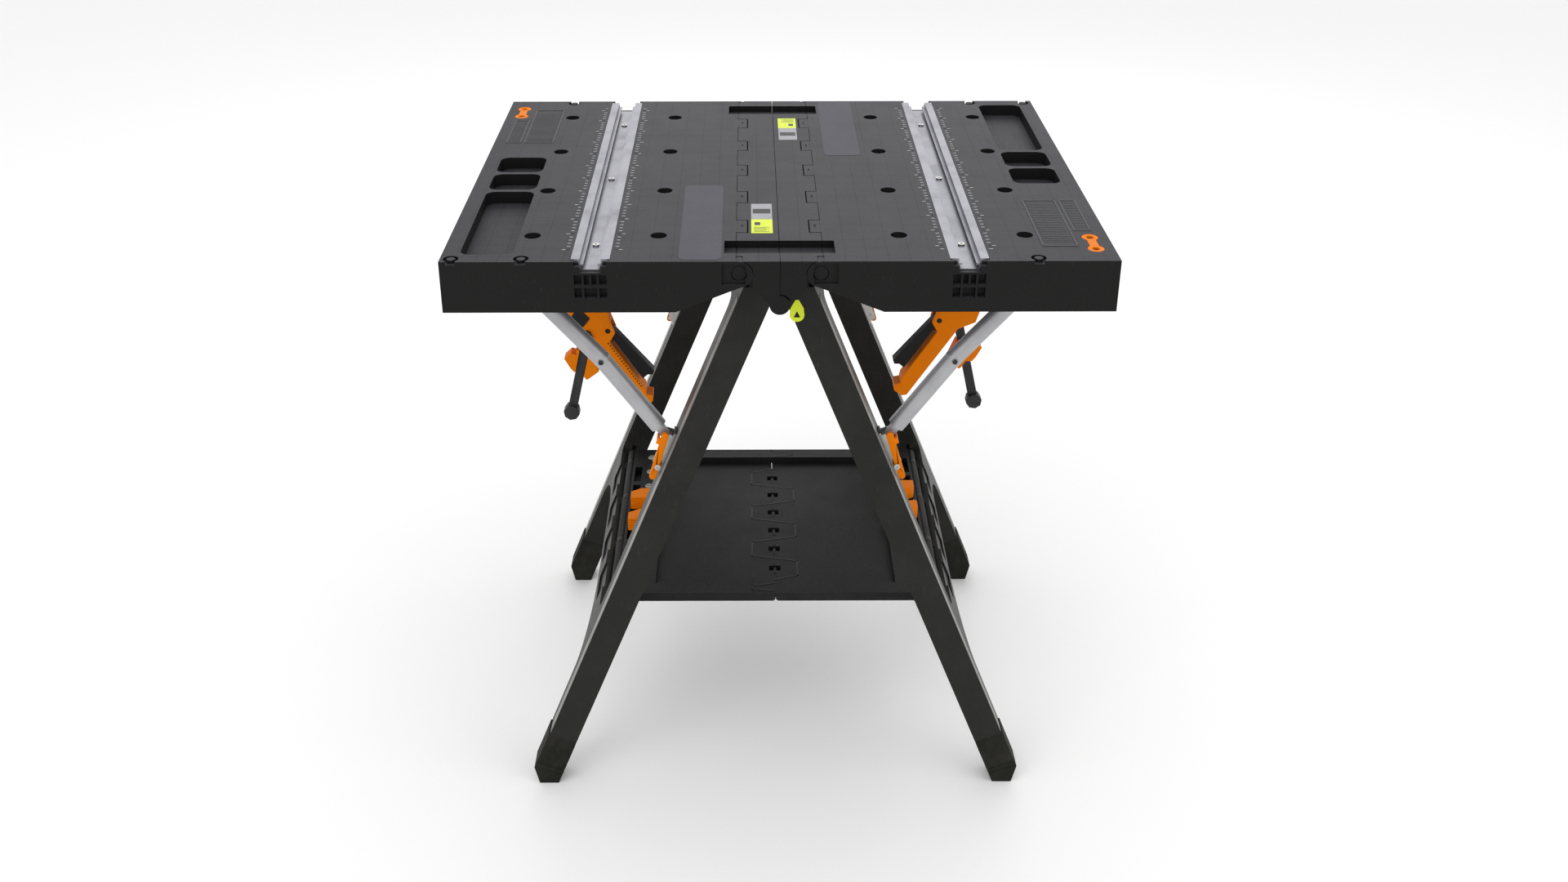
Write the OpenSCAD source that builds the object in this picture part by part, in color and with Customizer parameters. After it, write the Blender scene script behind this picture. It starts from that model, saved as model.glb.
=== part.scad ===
// Folding work table used as a sawhorse. Two flap tops fold down against an A-frame, and the
// frame closes on its folding shelf. Struts hold the flaps up; clamps, dogs and keys are stored.
// X runs across the table, Y front to back, Z up. The origin is on the floor under the middle.
// The right half is the left half turned half a turn about Z.

/* [Table top] */
// Width of the open top
table_w = 787; // [740:1:880]
// Depth of the top, front to back
table_d = 635; // [600:1:720]
// Height of the top above the floor
table_h = 813; // [760:1:900]
// Thickness of the top skin
skin_t = 5; // [4:0.5:7]
// Height of the skirt round the top
apron_h = 64; // [56:1:68]
// Thickness of the skirt
apron_t = 4.5; // [3:0.5:6]
// Half width of the middle spine
spine_w = 51; // [48:1:56]
// Thickness of the ribs
rib_t = 3; // [2:0.5:5]

/* [Dog holes and track] */
// Diameter of a dog hole
dog_hole_d = 20; // [18:0.5:22]
// Distance between dog holes, front to back
dog_pitch = 157; // [140:1:165]
// Distance from the middle of the top to the inner row of dog holes
dog_inner_x = 144; // [135:1:150]
// Distance between the two rows of dog holes in one flap
dog_row_gap = 151; // [146:1:156]
// Overall width of the clamping track
track_w = 45; // [40:1:50]
// Width of the track's channel
track_slot_w = 24.5; // [20:0.5:28]
// Depth of the track's channel
track_depth = 13; // [10:1:15]

/* [Trays] */
// Depth of the trays
tray_depth = 16; // [10:1:18]
// Width of the trays
tray_w = 62; // [50:1:64]
// Length of the long tray
long_tray_l = 213; // [180:1:225]
// Length of each short tray
short_tray_l = 60; // [50:1:64]

/* [Flap hinge] */
// Distance of the flap hinge from the middle
hinge_x = 47.5; // [46:0.5:49]
// Depth of the flap hinge below the top
hinge_drop = 16.6; // [16:0.1:18]
// Diameter of the flap hinge rod
hinge_rod_d = 8; // [6:0.5:10]
// Radius of the hinge knuckles
knuckle_r = 11; // [8:0.5:11.4]
// Distance between flap knuckles
knuckle_pitch = 103; // [96:1:108]
// Length of one flap knuckle
knuckle_l = 40; // [30:1:46]

/* [Legs] */
// Lean of each leg from upright, in degrees
leg_angle = 21.8; // [20:0.1:23]
// Thickness of a leg across the frame
leg_t = 39.5; // [34:0.5:42]
// Distance of the legs' outer faces from the middle, front to back
leg_face_y = 264; // [250:1:270]
// Depth of a leg at its top, front to back
leg_depth_top = 54; // [46:1:58]
// Depth of a leg at its foot, front to back
leg_depth_foot = 32; // [28:1:40]
// Wall of the hollow legs
leg_wall = 4; // [3:0.5:6]
// Depth of the frame's pivot below the top
apex_drop = 55.6; // [54:0.2:58]
// Length of the foot caps
foot_h = 74; // [60:1:90]

/* [Shelf] */
// Height of the shelf's rim above the floor
shelf_z = 272; // [250:1:300]
// Depth of the shelf, front to back
shelf_d = 396; // [360:1:404]
// Height of the rim above the shelf's floor
shelf_lip = 9.5; // [6:0.5:10]
// Thickness of the shelf with its rim
shelf_t = 13; // [12:0.5:15]
// Distance between the fingers of the middle joint
finger_pitch = 49.5; // [46:0.5:52]
// Reach of the fingers past the middle
finger_reach = 32; // [24:1:36]
// Diameter of the shelf's pivot rods
shelf_rod_d = 8; // [6:0.5:9]
// Diameter of the shelf's middle pin
mid_pin_d = 6; // [5:0.5:7]

/* [Struts and latches] */
// Diameter of a strut tube
strut_d = 22; // [18:1:23]
// Distance of the struts from the middle, front to back
strut_y = 228; // [224:1:232]
// Thickness of a strut's flat ends
strut_flat_t = 12; // [8:1:13]
// Height of a strut's lower end above the floor
strut_low_z = 537; // [520:1:550]
// Length of a latch lever
lever_l = 66; // [56:1:72]
// Diameter of the strut's pivot rod
strut_rod_d = 8; // [6:0.5:9]

/* [Clamps, dogs and keys] */
// Lean of a stored clamp's bar from upright, in degrees
bar_lean = 13; // [10:1:16]
// Width of a clamp's bar
bar_w = 13; // [11:1:16]
// Thickness of a clamp's bar
bar_t = 6; // [4:0.5:8]
// Length of a clamp's bar
bar_l = 322; // [300:1:330]
// Thickness of a clamp's body
clamp_t = 26; // [22:1:27]
// Length of a bench dog, across the shelf
dog_l = 46; // [36:1:48]
// Width of a bench dog
dog_w = 26; // [22:1:30]
// Height of a bench dog above its seat
dog_h = 20; // [14:1:24]
// Distance between the two holes of a link key
key_pitch = 36; // [30:1:40]

/* [Fits] */
// Radial clearance of a turning pin in its bore
pin_clear = 0.05; // [0.02:0.01:0.1]
// Gap between parts that move past each other
part_gap = 0.6; // [0.4:0.1:1]

/* [Hidden] */
$fn = 48;
eps = 0.01;

edge_x = table_w / 2;
edge_y = table_d / 2;
skin_z = table_h - skin_t;
apex_z = table_h - apex_drop;
hinge_z = table_h - hinge_drop;
hinge_r = hinge_rod_d / 2;
boss_r = hinge_drop - 0.4;
boss_l = 15.5;
seam_x = spine_w + part_gap / 2;
tab_gap = part_gap + 0.9;
rod_head_r = 8.5;
rod_head_t = 4;
head_face_y = edge_y - 4.5;
lean = tan(leg_angle);

// Leg faces at a height: the inner faces of the two frames meet in the apex axis.
function inner_x(z) = -(apex_z - z) * lean;
function outer_x(z) = inner_x(z) - leg_t / cos(leg_angle);
// Distance along the leg, from the apex down, of a height on its outer face
function along(x, z) = -x * sin(leg_angle) + (apex_z - z) * cos(leg_angle);
// Points of an arc
function arc(cx, cy, r, a0, a1, n = 8) =
    [for (i = [0:n]) let (a = a0 + (a1 - a0) * i / n) [cx + r * cos(a), cy + r * sin(a)]];

dog_xs = [-dog_inner_x, -dog_inner_x - dog_row_gap];
dog_ys = [-1.5 * dog_pitch, -0.5 * dog_pitch, 0.5 * dog_pitch, 1.5 * dog_pitch];
bush_r = dog_hole_d / 2 + 4;
track_x = -(dog_inner_x + dog_row_gap / 2);
tray_x = -edge_x + 51.5;
tray_wall = 3;
tray_floor_z = table_h - tray_depth;
rib_low_z = tray_floor_z - tray_wall;
long_tray_y = -edge_y + 22.5;
short_tray_ys = [long_tray_y + long_tray_l + 8, long_tray_y + long_tray_l + short_tray_l + 16];
vent_depth = apron_t + 3;
groove_y = edge_y - 45;
groove_w = 39;
groove_x = 65;
groove_floor_z = hinge_z + hinge_r + 3.4;

shelf_top = shelf_z;
shelf_floor = shelf_z - shelf_lip;
shelf_bottom = shelf_z - shelf_t;
mid_z = shelf_bottom - 1;
shelf_hinge_z = shelf_z - 8;
shelf_hinge_depth = 22.9;
shelf_hinge_x = inner_x(shelf_hinge_z) - shelf_hinge_depth / cos(leg_angle);
shelf_hinge_w = along(shelf_hinge_x, shelf_hinge_z);
shelf_knuckle_r = 7;
mid_knuckle_r = mid_pin_d / 2 + 2;
lug_ys = [-165, -60, 60, 165];
lug_l = 14;
land_x = -166;

strut_top = [-edge_x + 63.5, table_h - 42];
strut_low = [outer_x(strut_low_z) - 10.5 / cos(leg_angle), strut_low_z];
strut_bend = [-edge_x + 173.5, table_h - 168];
latch_w = along(strut_low[0], strut_low[1]) + 40;
latch_h = 6.5;
latch_pin_r = 2;
lever_out = 16.1;

clamp_y = -16;
trigger_pin = [57, 131];
trigger_r = 3.5;
bar_foot = [-edge_x + 105.5, table_h - 355];
shelf_dog_x = -190;
left_dog_ys = [-26, 33];
right_dog_ys = [3, -55];
peg_r = dog_hole_d / 2 - 0.3;
key_pos = [-edge_x + 22, edge_y - 56];

// Places a piece of the left half on the right half
module half(right) {
    rotate([0, 0, right ? 180 : 0]) children();
}

// Mirrors a piece from the front leg to the back leg
module end(back) {
    mirror([0, back ? 1 : 0, 0]) children();
}

// A rod along Y through the point p = [x, z], from y0 to y1
module rod_y(p, r, y0, y1) {
    translate([p[0], y1, p[1]]) rotate([90, 0, 0]) cylinder(r = r, h = y1 - y0);
}

// An outline drawn in X and Z, made solid from y0 to y1
module plate_y(y0, y1) {
    translate([0, y1, 0]) rotate([90, 0, 0]) linear_extrude(y1 - y0) children();
}

// A box given by its two corners
module box(a, b) {
    translate(a) cube([b[0] - a[0], b[1] - a[1], b[2] - a[2]]);
}

// The left frame's own space: +X out of its inner face, Z up the leg, zero at the apex
module leg_space() {
    translate([0, 0, apex_z]) rotate([0, leg_angle, 0]) children();
}

// A rounded rectangle, from corner a to corner b
module round_rect(a, b, r) {
    polygon(concat(arc(b[0] - r, b[1] - r, r, 0, 90), arc(a[0] + r, b[1] - r, r, 90, 180),
        arc(a[0] + r, a[1] + r, r, 180, 270), arc(b[0] - r, a[1] + r, r, 270, 360)));
}

// ---- flap tops ----

// Outline of the skirt in X and Z, from the outer edge to the hinge boss
module apron_outline() {
    low_z = table_h - apron_h;
    knee = [-hinge_x - 74.5, low_z];
    to_hinge = [-hinge_x - knee[0], hinge_z - knee[1]];
    reach = norm(to_hinge);
    dir = atan2(to_hinge[1], to_hinge[0]) - asin((boss_r - 0.5) / reach);
    run = sqrt(reach * reach - boss_r * boss_r);
    polygon([[-edge_x, table_h], [-hinge_x, table_h], [-hinge_x, hinge_z],
        [knee[0] + run * cos(dir), knee[1] + run * sin(dir)], knee, [-edge_x, low_z]]);
}

module apron_end() {
    plate_y(-edge_y, -edge_y + apron_t) apron_outline();
    rod_y([-hinge_x, hinge_z], boss_r, -edge_y, -edge_y + boss_l);
}

module wing_skin() {
    r = 5;
    translate([0, 0, skin_z]) linear_extrude(skin_t)
        polygon(concat([[-seam_x, -edge_y], [-seam_x, edge_y]],
            arc(-edge_x + r, edge_y - r, r, 90, 180), arc(-edge_x + r, -edge_y + r, r, 180, 270)));
}

module wing_ribs() {
    for (y = [-1, 0, 1])
        box([-edge_x + apron_t, y * dog_pitch - rib_t / 2, rib_low_z], [-seam_x - 22, y * dog_pitch + rib_t / 2, skin_z]);
    for (x = [-100, -185, -262, -352])
        box([x - rib_t / 2, -edge_y + apron_t, rib_low_z], [x + rib_t / 2, edge_y - apron_t, skin_z]);
    for (x = dog_xs, y = dog_ys)
        translate([x, y, rib_low_z]) cylinder(r = bush_r, h = skin_z - rib_low_z);
}

module wing_knuckles() {
    for (i = [-2:2]) {
        y = i * knuckle_pitch;
        rod_y([-hinge_x, hinge_z], knuckle_r, y - knuckle_l / 2, y + knuckle_l / 2);
        box([-hinge_x - 14, y - knuckle_l / 2, hinge_z], [-hinge_x, y + knuckle_l / 2, skin_z + eps]);
        box([-seam_x - 1, y - knuckle_l / 2, skin_z], [-spine_w + 13, y + knuckle_l / 2, table_h]);
    }
}

module tray_tubs(grow, z0) {
    r = 12 + grow;
    translate([0, 0, z0]) linear_extrude(table_h - z0 + (grow > 0 ? 0 : 1)) {
        round_rect([tray_x - tray_w / 2 - grow, long_tray_y - grow],
            [tray_x + tray_w / 2 + grow, long_tray_y + long_tray_l + grow], r);
        for (y = short_tray_ys)
            round_rect([tray_x - tray_w / 2 - grow, y - grow],
                [tray_x + tray_w / 2 + grow, y + short_tray_l + grow], r);
    }
}

// Blind cells of the vent grid in the skirt below the track, and the notch at the track's end
module track_vents() {
    side = (track_w - 7) / 2;
    post = 2.5;
    top_cells = [[-side, -10], [-7.5, -post / 2], [post / 2, 7.5], [10, side]];
    low_cells = [[-side, -10], [-7.5, 7.5], [10, side]];
    for (c = top_cells) box([track_x + c[0], -edge_y - 1, table_h - 30], [track_x + c[1], -edge_y + vent_depth, table_h - 16.5]);
    for (c = low_cells) box([track_x + c[0], -edge_y - 1, table_h - 46.5], [track_x + c[1], -edge_y + vent_depth, table_h - 33]);
    box([track_x - track_slot_w / 2, -edge_y - 1, table_h - track_depth - 1],
        [track_x + track_slot_w / 2, -edge_y + apron_t + 1, table_h + 1]);
    box([track_x - side, -edge_y - 1, table_h - 6], [track_x + side, -edge_y + apron_t + 1, table_h + 1]);
}

// Socket at the edge for joining two tables with a link key
module edge_socket(x) {
    y = -edge_y + 10;
    translate([x, y, table_h - 4]) difference() {
        cylinder(r = 9, h = 5);
        translate([0, 0, -1]) cylinder(r = 5, h = 7);
    }
    box([x - 6, -edge_y - 1, table_h - 4], [x + 6, y - 5, table_h + 1]);
}

module key_outline(grow) {
    for (s = [-1, 1]) translate([0, s * key_pitch / 2]) circle(10 + grow);
    square([11 + 2 * grow, key_pitch], center = true);
}

// The two grooves across the spine, grown by a wall, from z0 to z1
module grooves(grow, z0, z1) {
    for (s = [-1, 1])
        box([-groove_x - grow, s * groove_y - groove_w / 2 - grow, z0], [1, s * groove_y + groove_w / 2 + grow, z1]);
}

module wing() {
    difference() {
        union() {
            wing_skin();
            apron_end();
            mirror([0, 1, 0]) apron_end();
            box([-edge_x, -edge_y + apron_t - 1, table_h - apron_h],
                [-edge_x + apron_t, edge_y - apron_t + 1, table_h - skin_t / 2]);
            wing_ribs();
            wing_knuckles();
            tray_tubs(tray_wall, tray_floor_z - tray_wall);
            intersection() {
                grooves(3, groove_floor_z - 3, skin_z);
                box([-edge_x, -edge_y, 0], [-seam_x, edge_y, table_h]);
            }
            box([track_x - track_w / 2 - 3, -edge_y + apron_t, table_h - track_depth - 5],
                [track_x + track_w / 2 + 3, edge_y - apron_t, skin_z]);
            // backs of the vent grids
            for (s = [0, 1]) mirror([0, s, 0])
                box([track_x - track_w / 2, -edge_y + apron_t - 1, table_h - 50],
                    [track_x + track_w / 2, -edge_y + vent_depth + 3, table_h - track_depth - 4]);
        }
        tray_tubs(0, tray_floor_z);
        for (x = dog_xs, y = dog_ys)
            translate([x, y, table_h - 60]) cylinder(d = dog_hole_d, h = 70);
        // seat of the track
        box([track_x - track_w / 2 - 0.2, -edge_y + apron_t, table_h - 3.2],
            [track_x + track_w / 2 + 0.2, edge_y - apron_t, table_h + 1]);
        box([track_x - track_slot_w / 2 - 2.2, -edge_y + apron_t, table_h - track_depth - 2.2],
            [track_x + track_slot_w / 2 + 2.2, edge_y - apron_t, table_h + 1]);
        track_vents();
        mirror([0, 1, 0]) track_vents();
        // hinge bore, clearance for the spine's knuckles and the rod's heads
        rod_y([-hinge_x, hinge_z], hinge_r + pin_clear, -edge_y, edge_y);
        for (s = [0, 1]) mirror([0, s, 0])
            rod_y([-hinge_x, hinge_z], rod_head_r + 0.8, -edge_y - 1, -head_face_y + rod_head_t + 0.5);
        // square recess round each head of the rod
        for (s = [0, 1]) mirror([0, s, 0])
            box([-hinge_x - 20, -edge_y - 1, hinge_z - 13], [-hinge_x + 8, -edge_y + 3.5, hinge_z + 13]);
        // short dash on each tab
        for (i = [-2:2])
            box([-seam_x + 6, i * knuckle_pitch - 5, table_h - 0.8], [-seam_x + 8, i * knuckle_pitch + 5, table_h + 1]);
        // grooves by the spine, sockets at the edges and the key's bed
        grooves(0, groove_floor_z, table_h + 1);
        edge_socket(-edge_x + 13);
        edge_socket(-edge_x + 94);
        mirror([0, 1, 0]) edge_socket(-edge_x + 94);
        translate([key_pos[0], key_pos[1], table_h - 3]) linear_extrude(4) key_outline(0.4);
        // openings for the struts in the outer skirt
        for (s = [-1, 1])
            box([-edge_x - 1, s * strut_y - 17, table_h - apron_h - 1], [-edge_x + apron_t + 1, s * strut_y + 17, table_h - 32]);
    }
}

module track() {
    y1 = edge_y - apron_t - 4;
    wall = 2;
    difference() {
        union() {
            box([track_x - track_w / 2, -y1, table_h - 3], [track_x + track_w / 2, y1, table_h]);
            box([track_x - track_slot_w / 2 - wall, -y1, table_h - track_depth - wall],
                [track_x + track_slot_w / 2 + wall, y1, table_h - 1]);
        }
        box([track_x - track_slot_w / 2, -y1 - 1, table_h - track_depth],
            [track_x + track_slot_w / 2, y1 + 1, table_h + 1]);
        for (y = screw_ys()) translate([track_x, y, table_h - track_depth - wall - 1]) cylinder(d = 4, h = wall + 2);
    }
    // inner lips that hold a T-bolt
    for (s = [0, 1]) translate([track_x, 0, 0]) mirror([s, 0, 0])
        box([track_slot_w / 2 - 4, -y1, table_h - 8], [track_slot_w / 2 + eps, y1, table_h - 6]);
}

function screw_ys() = [-1.5 * dog_pitch, 0, 1.5 * dog_pitch];

module track_screws() {
    for (y = screw_ys()) translate([track_x, y, 0]) difference() {
        union() {
            translate([0, 0, table_h - track_depth]) cylinder(r = 4, h = 2);
            translate([0, 0, table_h - track_depth - 2]) cylinder(r = 1.95, h = 2.2);
        }
        translate([0, 0, table_h - track_depth + 1]) for (a = [0, 90])
            rotate([0, 0, a]) cube([5, 1, 3], center = true);
    }
}

module link_key() {
    translate([key_pos[0], key_pos[1], table_h - 3]) linear_extrude(3) difference() {
        key_outline(0);
        for (s = [-1, 1]) translate([0, s * key_pitch / 2]) circle(4.5);
    }
}

module hinge_rod() {
    rod_y([-hinge_x, hinge_z], hinge_r, -head_face_y, head_face_y);
    for (s = [0, 1]) mirror([0, s, 0])
        rod_y([-hinge_x, hinge_z], rod_head_r, -head_face_y, -head_face_y + rod_head_t);
}

// ---- spine ----

lobe_r = 12;
lobe_t = 6;
lobe_gap_r = lobe_r + 2;

// Half of an end plate, from the top down to the apex, clear of the flap's boss
module end_plate_outline() {
    difference() {
        polygon([[-part_gap / 2, table_h], [-hinge_x + 0.5, table_h], [-hinge_x + 0.5, hinge_z],
            [-hinge_x + boss_r, hinge_z], [-hinge_x + boss_r, hinge_z - boss_r], [-12.5, apex_z + 2],
            [-part_gap / 2, apex_z + 0.8]]);
        translate([-hinge_x, hinge_z]) circle(boss_r + part_gap);
    }
}

// Front end: this half's lobe lies outside the other half's
module outer_lobe_end() {
    plate_y(-edge_y, -edge_y + lobe_t) {
        end_plate_outline();
        translate([0, apex_z]) circle(lobe_r);
    }
    plate_y(-edge_y + lobe_t, -edge_y + 2 * lobe_t + 1) difference() {
        end_plate_outline();
        translate([0, apex_z]) circle(lobe_gap_r);
    }
}

// Back end: this half's lobe lies inside the other half's
module inner_lobe_end() {
    plate_y(edge_y - lobe_t - part_gap, edge_y) difference() {
        end_plate_outline();
        translate([0, apex_z]) circle(lobe_gap_r);
    }
    plate_y(edge_y - 2 * lobe_t - 1, edge_y - lobe_t - part_gap) {
        end_plate_outline();
        translate([0, apex_z]) circle(lobe_r);
    }
}

module spine() {
    in_x = -part_gap / 2;
    seat_x = -hinge_x + knuckle_r + part_gap;
    difference() {
        union() {
            box([-spine_w + part_gap / 2, -edge_y + 4, skin_z], [in_x, edge_y - 4, table_h]);
            box([in_x - 4, -edge_y + 4, apex_z + 0.8], [in_x, edge_y - 4, skin_z]);
            outer_lobe_end();
            inner_lobe_end();
            // seats that take the leg frame's top
            for (s = [-1, 1])
                box([seat_x, s * leg_face_y * 0.9 - 26, apex_z], [in_x - 4, s * leg_face_y * 0.9 + 26, skin_z]);
            for (y = [-1.5, -0.5, 0.5, 1.5])
                box([seat_x, y * knuckle_pitch - 2, apex_z], [in_x, y * knuckle_pitch + 2, skin_z]);
            intersection() {
                grooves(3, groove_floor_z - 3, skin_z);
                box([-spine_w + part_gap / 2, -edge_y, 0], [in_x, edge_y, table_h]);
            }
            // knuckles between the flap's knuckles
            for (i = [-2:1]) {
                y0 = i * knuckle_pitch + knuckle_l / 2 + part_gap;
                y1 = (i + 1) * knuckle_pitch - knuckle_l / 2 - part_gap;
                rod_y([-hinge_x, hinge_z], knuckle_r, y0, y1);
                box([-hinge_x, y0, hinge_z - 6], [seat_x + 1, y1, skin_z]);
            }
            for (s = [0, 1]) mirror([0, s, 0]) {
                y0 = 2 * knuckle_pitch + knuckle_l / 2 + part_gap;
                rod_y([-hinge_x, hinge_z], knuckle_r, y0, y0 + 20);
                box([-hinge_x, y0, hinge_z - 6], [seat_x + 1, y0 + 20, skin_z]);
            }
        }
        // slots for the flap's tabs
        for (i = [-2:2]) translate([0, i * knuckle_pitch, 0])
            box([-spine_w - 1, -knuckle_l / 2 - tab_gap, hinge_z - 14],
                [-spine_w + 13 + tab_gap, knuckle_l / 2 + tab_gap, table_h + 1]);
        for (s = [0, 1]) mirror([0, s, 0])
            rod_y([-hinge_x, hinge_z], boss_r + part_gap + 0.4, -edge_y - 1, -edge_y + boss_l + 1);
        rod_y([-hinge_x, hinge_z], hinge_r, -edge_y, edge_y);
        grooves(0, groove_floor_z, table_h + 1);
        rod_y([0, apex_z], 4, -edge_y - 1, -edge_y + lobe_t + 0.3);
        rod_y([0, apex_z], 4, edge_y - 2 * lobe_t - 2, edge_y - lobe_t - part_gap / 2);
        // room for the other half's lobe
        rod_y([0, apex_z], lobe_gap_r, -edge_y + lobe_t, -edge_y + 2 * lobe_t + 3);
        rod_y([0, apex_z], lobe_gap_r, edge_y - lobe_t - part_gap, edge_y + 1);
    }
}

module apex_pin() {
    rod_y([0, apex_z], 4, -edge_y + 0.5, -edge_y + lobe_t);
}

// ---- leg frames ----

leg_len = apex_z / cos(leg_angle);
yoke_w = 58;
bar_top_w = shelf_hinge_w + 8;
bar_low_w = shelf_hinge_w + 44;
arch_w = bar_low_w + 62;
frame_in = 1;

// Inner edge of a leg, front to back, at a distance down the leg
function leg_in_y(w) = leg_face_y - leg_depth_top
    + (leg_depth_top - leg_depth_foot) * max(0, (w - 250) / (leg_len - 250));

// Opening between the legs above the crossbar, in Y and along the leg
module upper_opening() {
    r = 14;
    y0 = leg_in_y(0);
    y1 = leg_in_y(bar_top_w);
    polygon(concat(arc(y0 - r, -yoke_w - r, r, 0, 90), arc(-y0 + r, -yoke_w - r, r, 90, 180),
        [[-y0, -250]], arc(-y1 + r, -bar_top_w + r, r, 180, 270),
        arc(y1 - r, -bar_top_w + r, r, 270, 360), [[y0, -250]]));
}

// Opening below the crossbar: an arch that runs down into the legs
module lower_opening() {
    flat_y = 96;
    y1 = leg_in_y(arch_w);
    n = 10;
    right_side = [for (i = [0:n]) let (a = 90 * i / n)
        [flat_y + (y1 - flat_y) * sin(a), -bar_low_w - (arch_w - bar_low_w) * (1 - cos(a))]];
    yf = leg_in_y(leg_len);
    polygon(concat(right_side, [[yf, -leg_len - 60], [-yf, -leg_len - 60]],
        [for (i = [n:-1:0]) [-right_side[i][0], right_side[i][1]]]));
}

// Makes an outline in Y and the leg's length solid across the leg, from depth x0 to x1
module across(x0, x1) {
    translate([x0, 0, 0]) rotate([90, 0, 90]) linear_extrude(x1 - x0) children();
}

module frame_outline() {
    difference() {
        translate([-leg_face_y, -leg_len - 40]) square([2 * leg_face_y, leg_len + 60]);
        upper_opening();
        lower_opening();
    }
}

module leg_pockets() {
    // each leg is a channel, open to the inside, with cross webs
    bays = 7;
    step = (leg_len - 90 - 20) / bays;
    for (s = [-1, 1], i = [0:bays - 1]) {
        w0 = 20 + i * step + leg_wall / 2;
        w1 = 20 + (i + 1) * step - leg_wall / 2;
        y_in = leg_in_y(w1) + leg_wall;
        y_out = leg_face_y - leg_wall;
        box([-leg_t + leg_wall, s > 0 ? y_in : -y_out, -w1], [1, s > 0 ? y_out : -y_in, -w0]);
    }
}

module leg_frame() {
    difference() {
        leg_space() difference() {
            union() {
                difference() {
                    across(-leg_t, -frame_in) frame_outline();
                    leg_pockets();
                    // the crossbar is a plate behind the outer face
                    box([-leg_t + 9, -leg_in_y(bar_top_w) - 1, -arch_w - 40], [1, leg_in_y(bar_top_w) + 1, -bar_top_w + 1]);
                    // hollow of the yoke
                    box([-leg_t + leg_wall, -leg_in_y(0) + 12, -yoke_w + leg_wall], [1, leg_in_y(0) - 12, 40]);
                }
                // stiffening rib along the crossbar
                box([-leg_t + 8, -leg_in_y(bar_low_w) + 1, -bar_low_w], [-14, leg_in_y(bar_low_w) - 1, -bar_low_w + 4]);
                // lugs for the shelf's rod
                for (y = lug_ys) {
                    translate([0, y, 0]) rod_y([-shelf_hinge_depth, -shelf_hinge_w], shelf_knuckle_r, -lug_l / 2, lug_l / 2);
                    box([-leg_t + 8, y - lug_l / 2, -shelf_hinge_w - 15], [-shelf_hinge_depth + 4, y + lug_l / 2, -shelf_hinge_w - 4]);
                }
            }
            rod_y([-shelf_hinge_depth, -shelf_hinge_w], shelf_rod_d / 2, -250, 250);
            // shallow panels on the crossbar's outer face
            for (y = [-138, -46, 46, 138])
                across(-leg_t - 1, -leg_t + 3) round_rect([y - 30, -bar_low_w + 10], [y + 30, -bar_low_w + 38], 5);
        }
        // cut level at the top, and above the foot
        box([-300, -400, apex_z], [300, 400, apex_z + 200]);
        box([-600, -400, -200], [300, 400, 10]);
        for (s = [-1, 1]) end(s > 0) foot_space();
    }
}

// The part of a leg that its foot cap takes the place of
module foot_space() {
    leg_space() box([-leg_t - 1, -leg_face_y - 1, -leg_len - 60],
        [1, -leg_in_y(leg_len) + 12, -leg_len + foot_h]);
}

module foot() {
    y_in = -leg_in_y(leg_len);
    top_w = leg_len - foot_h;
    intersection() {
        leg_space() difference() {
            across(-leg_t - 2, -frame_in) polygon([[-leg_face_y - 2, -leg_len - 60],
                [-leg_face_y - 2, -top_w - 10], [-leg_face_y, -top_w], [y_in + 1, -top_w],
                [y_in + 1, -leg_len - 60]]);
            // grooves across the front face
            for (i = [0, 1]) box([-leg_t - 5, -leg_face_y - 3, -leg_len + 22 - i * 8], [5, -leg_face_y - 1, -leg_len + 25 - i * 8]);
        }
        // flat sole and the outer knee
        plate_y(-leg_face_y - 10, y_in + 20) polygon([[-edge_x, 400], [outer_x(27) - 2.2, 27],
            [outer_x(27) + 4, 0], [inner_x(0) + 3.5, 0], [inner_x(0) + 60, 60], [0, 400]]);
    }
}

module shelf_rod() {
    leg_space() rod_y([-shelf_hinge_depth, -shelf_hinge_w], shelf_rod_d / 2, -shelf_d / 2, shelf_d / 2);
}

// ---- shelf ----

// The middle seam from front to back, for the left half: gap g keeps it off the right half
function seam(g) =
    let (p = finger_pitch, r = finger_reach, tip = p / 2 - 7, rim = 3 * p)
    concat([[-g, -shelf_d / 2], [-g, -shelf_d / 2 + 5 - g], [-r - g, -shelf_d / 2 + 9 - g]],
        [[-r - g, -shelf_d / 2 + 17 + g], [-g, -shelf_d / 2 + 24 + g]],
        [[-g, -rim - 4], [r - g, -2.5 * p - tip + g], [r - g, -2.5 * p + tip - g]],
        [[-r - g, -1.5 * p - tip - g], [-r - g, -1.5 * p + tip + g]],
        [[r - g, -0.5 * p - tip + g], [r - g, -0.5 * p + tip - g]],
        [[-r - g, 0.5 * p - tip - g], [-r - g, 0.5 * p + tip + g]],
        [[r - g, 1.5 * p - tip + g], [r - g, 1.5 * p + tip - g]],
        [[-r - g, 2.5 * p - tip - g], [-r - g, 2.5 * p + tip + g], [-g, rim + 4]],
        [[-g, shelf_d / 2 - 24 + g], [r - g, shelf_d / 2 - 17 + g], [r - g, shelf_d / 2 - 9 - g]],
        [[-g, shelf_d / 2 - 5 - g], [-g, shelf_d / 2]]);

module shelf_outline() {
    polygon(concat(seam(part_gap / 2), [[shelf_hinge_x + 4, shelf_d / 2], [shelf_hinge_x + 4, -shelf_d / 2]]));
}

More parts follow.
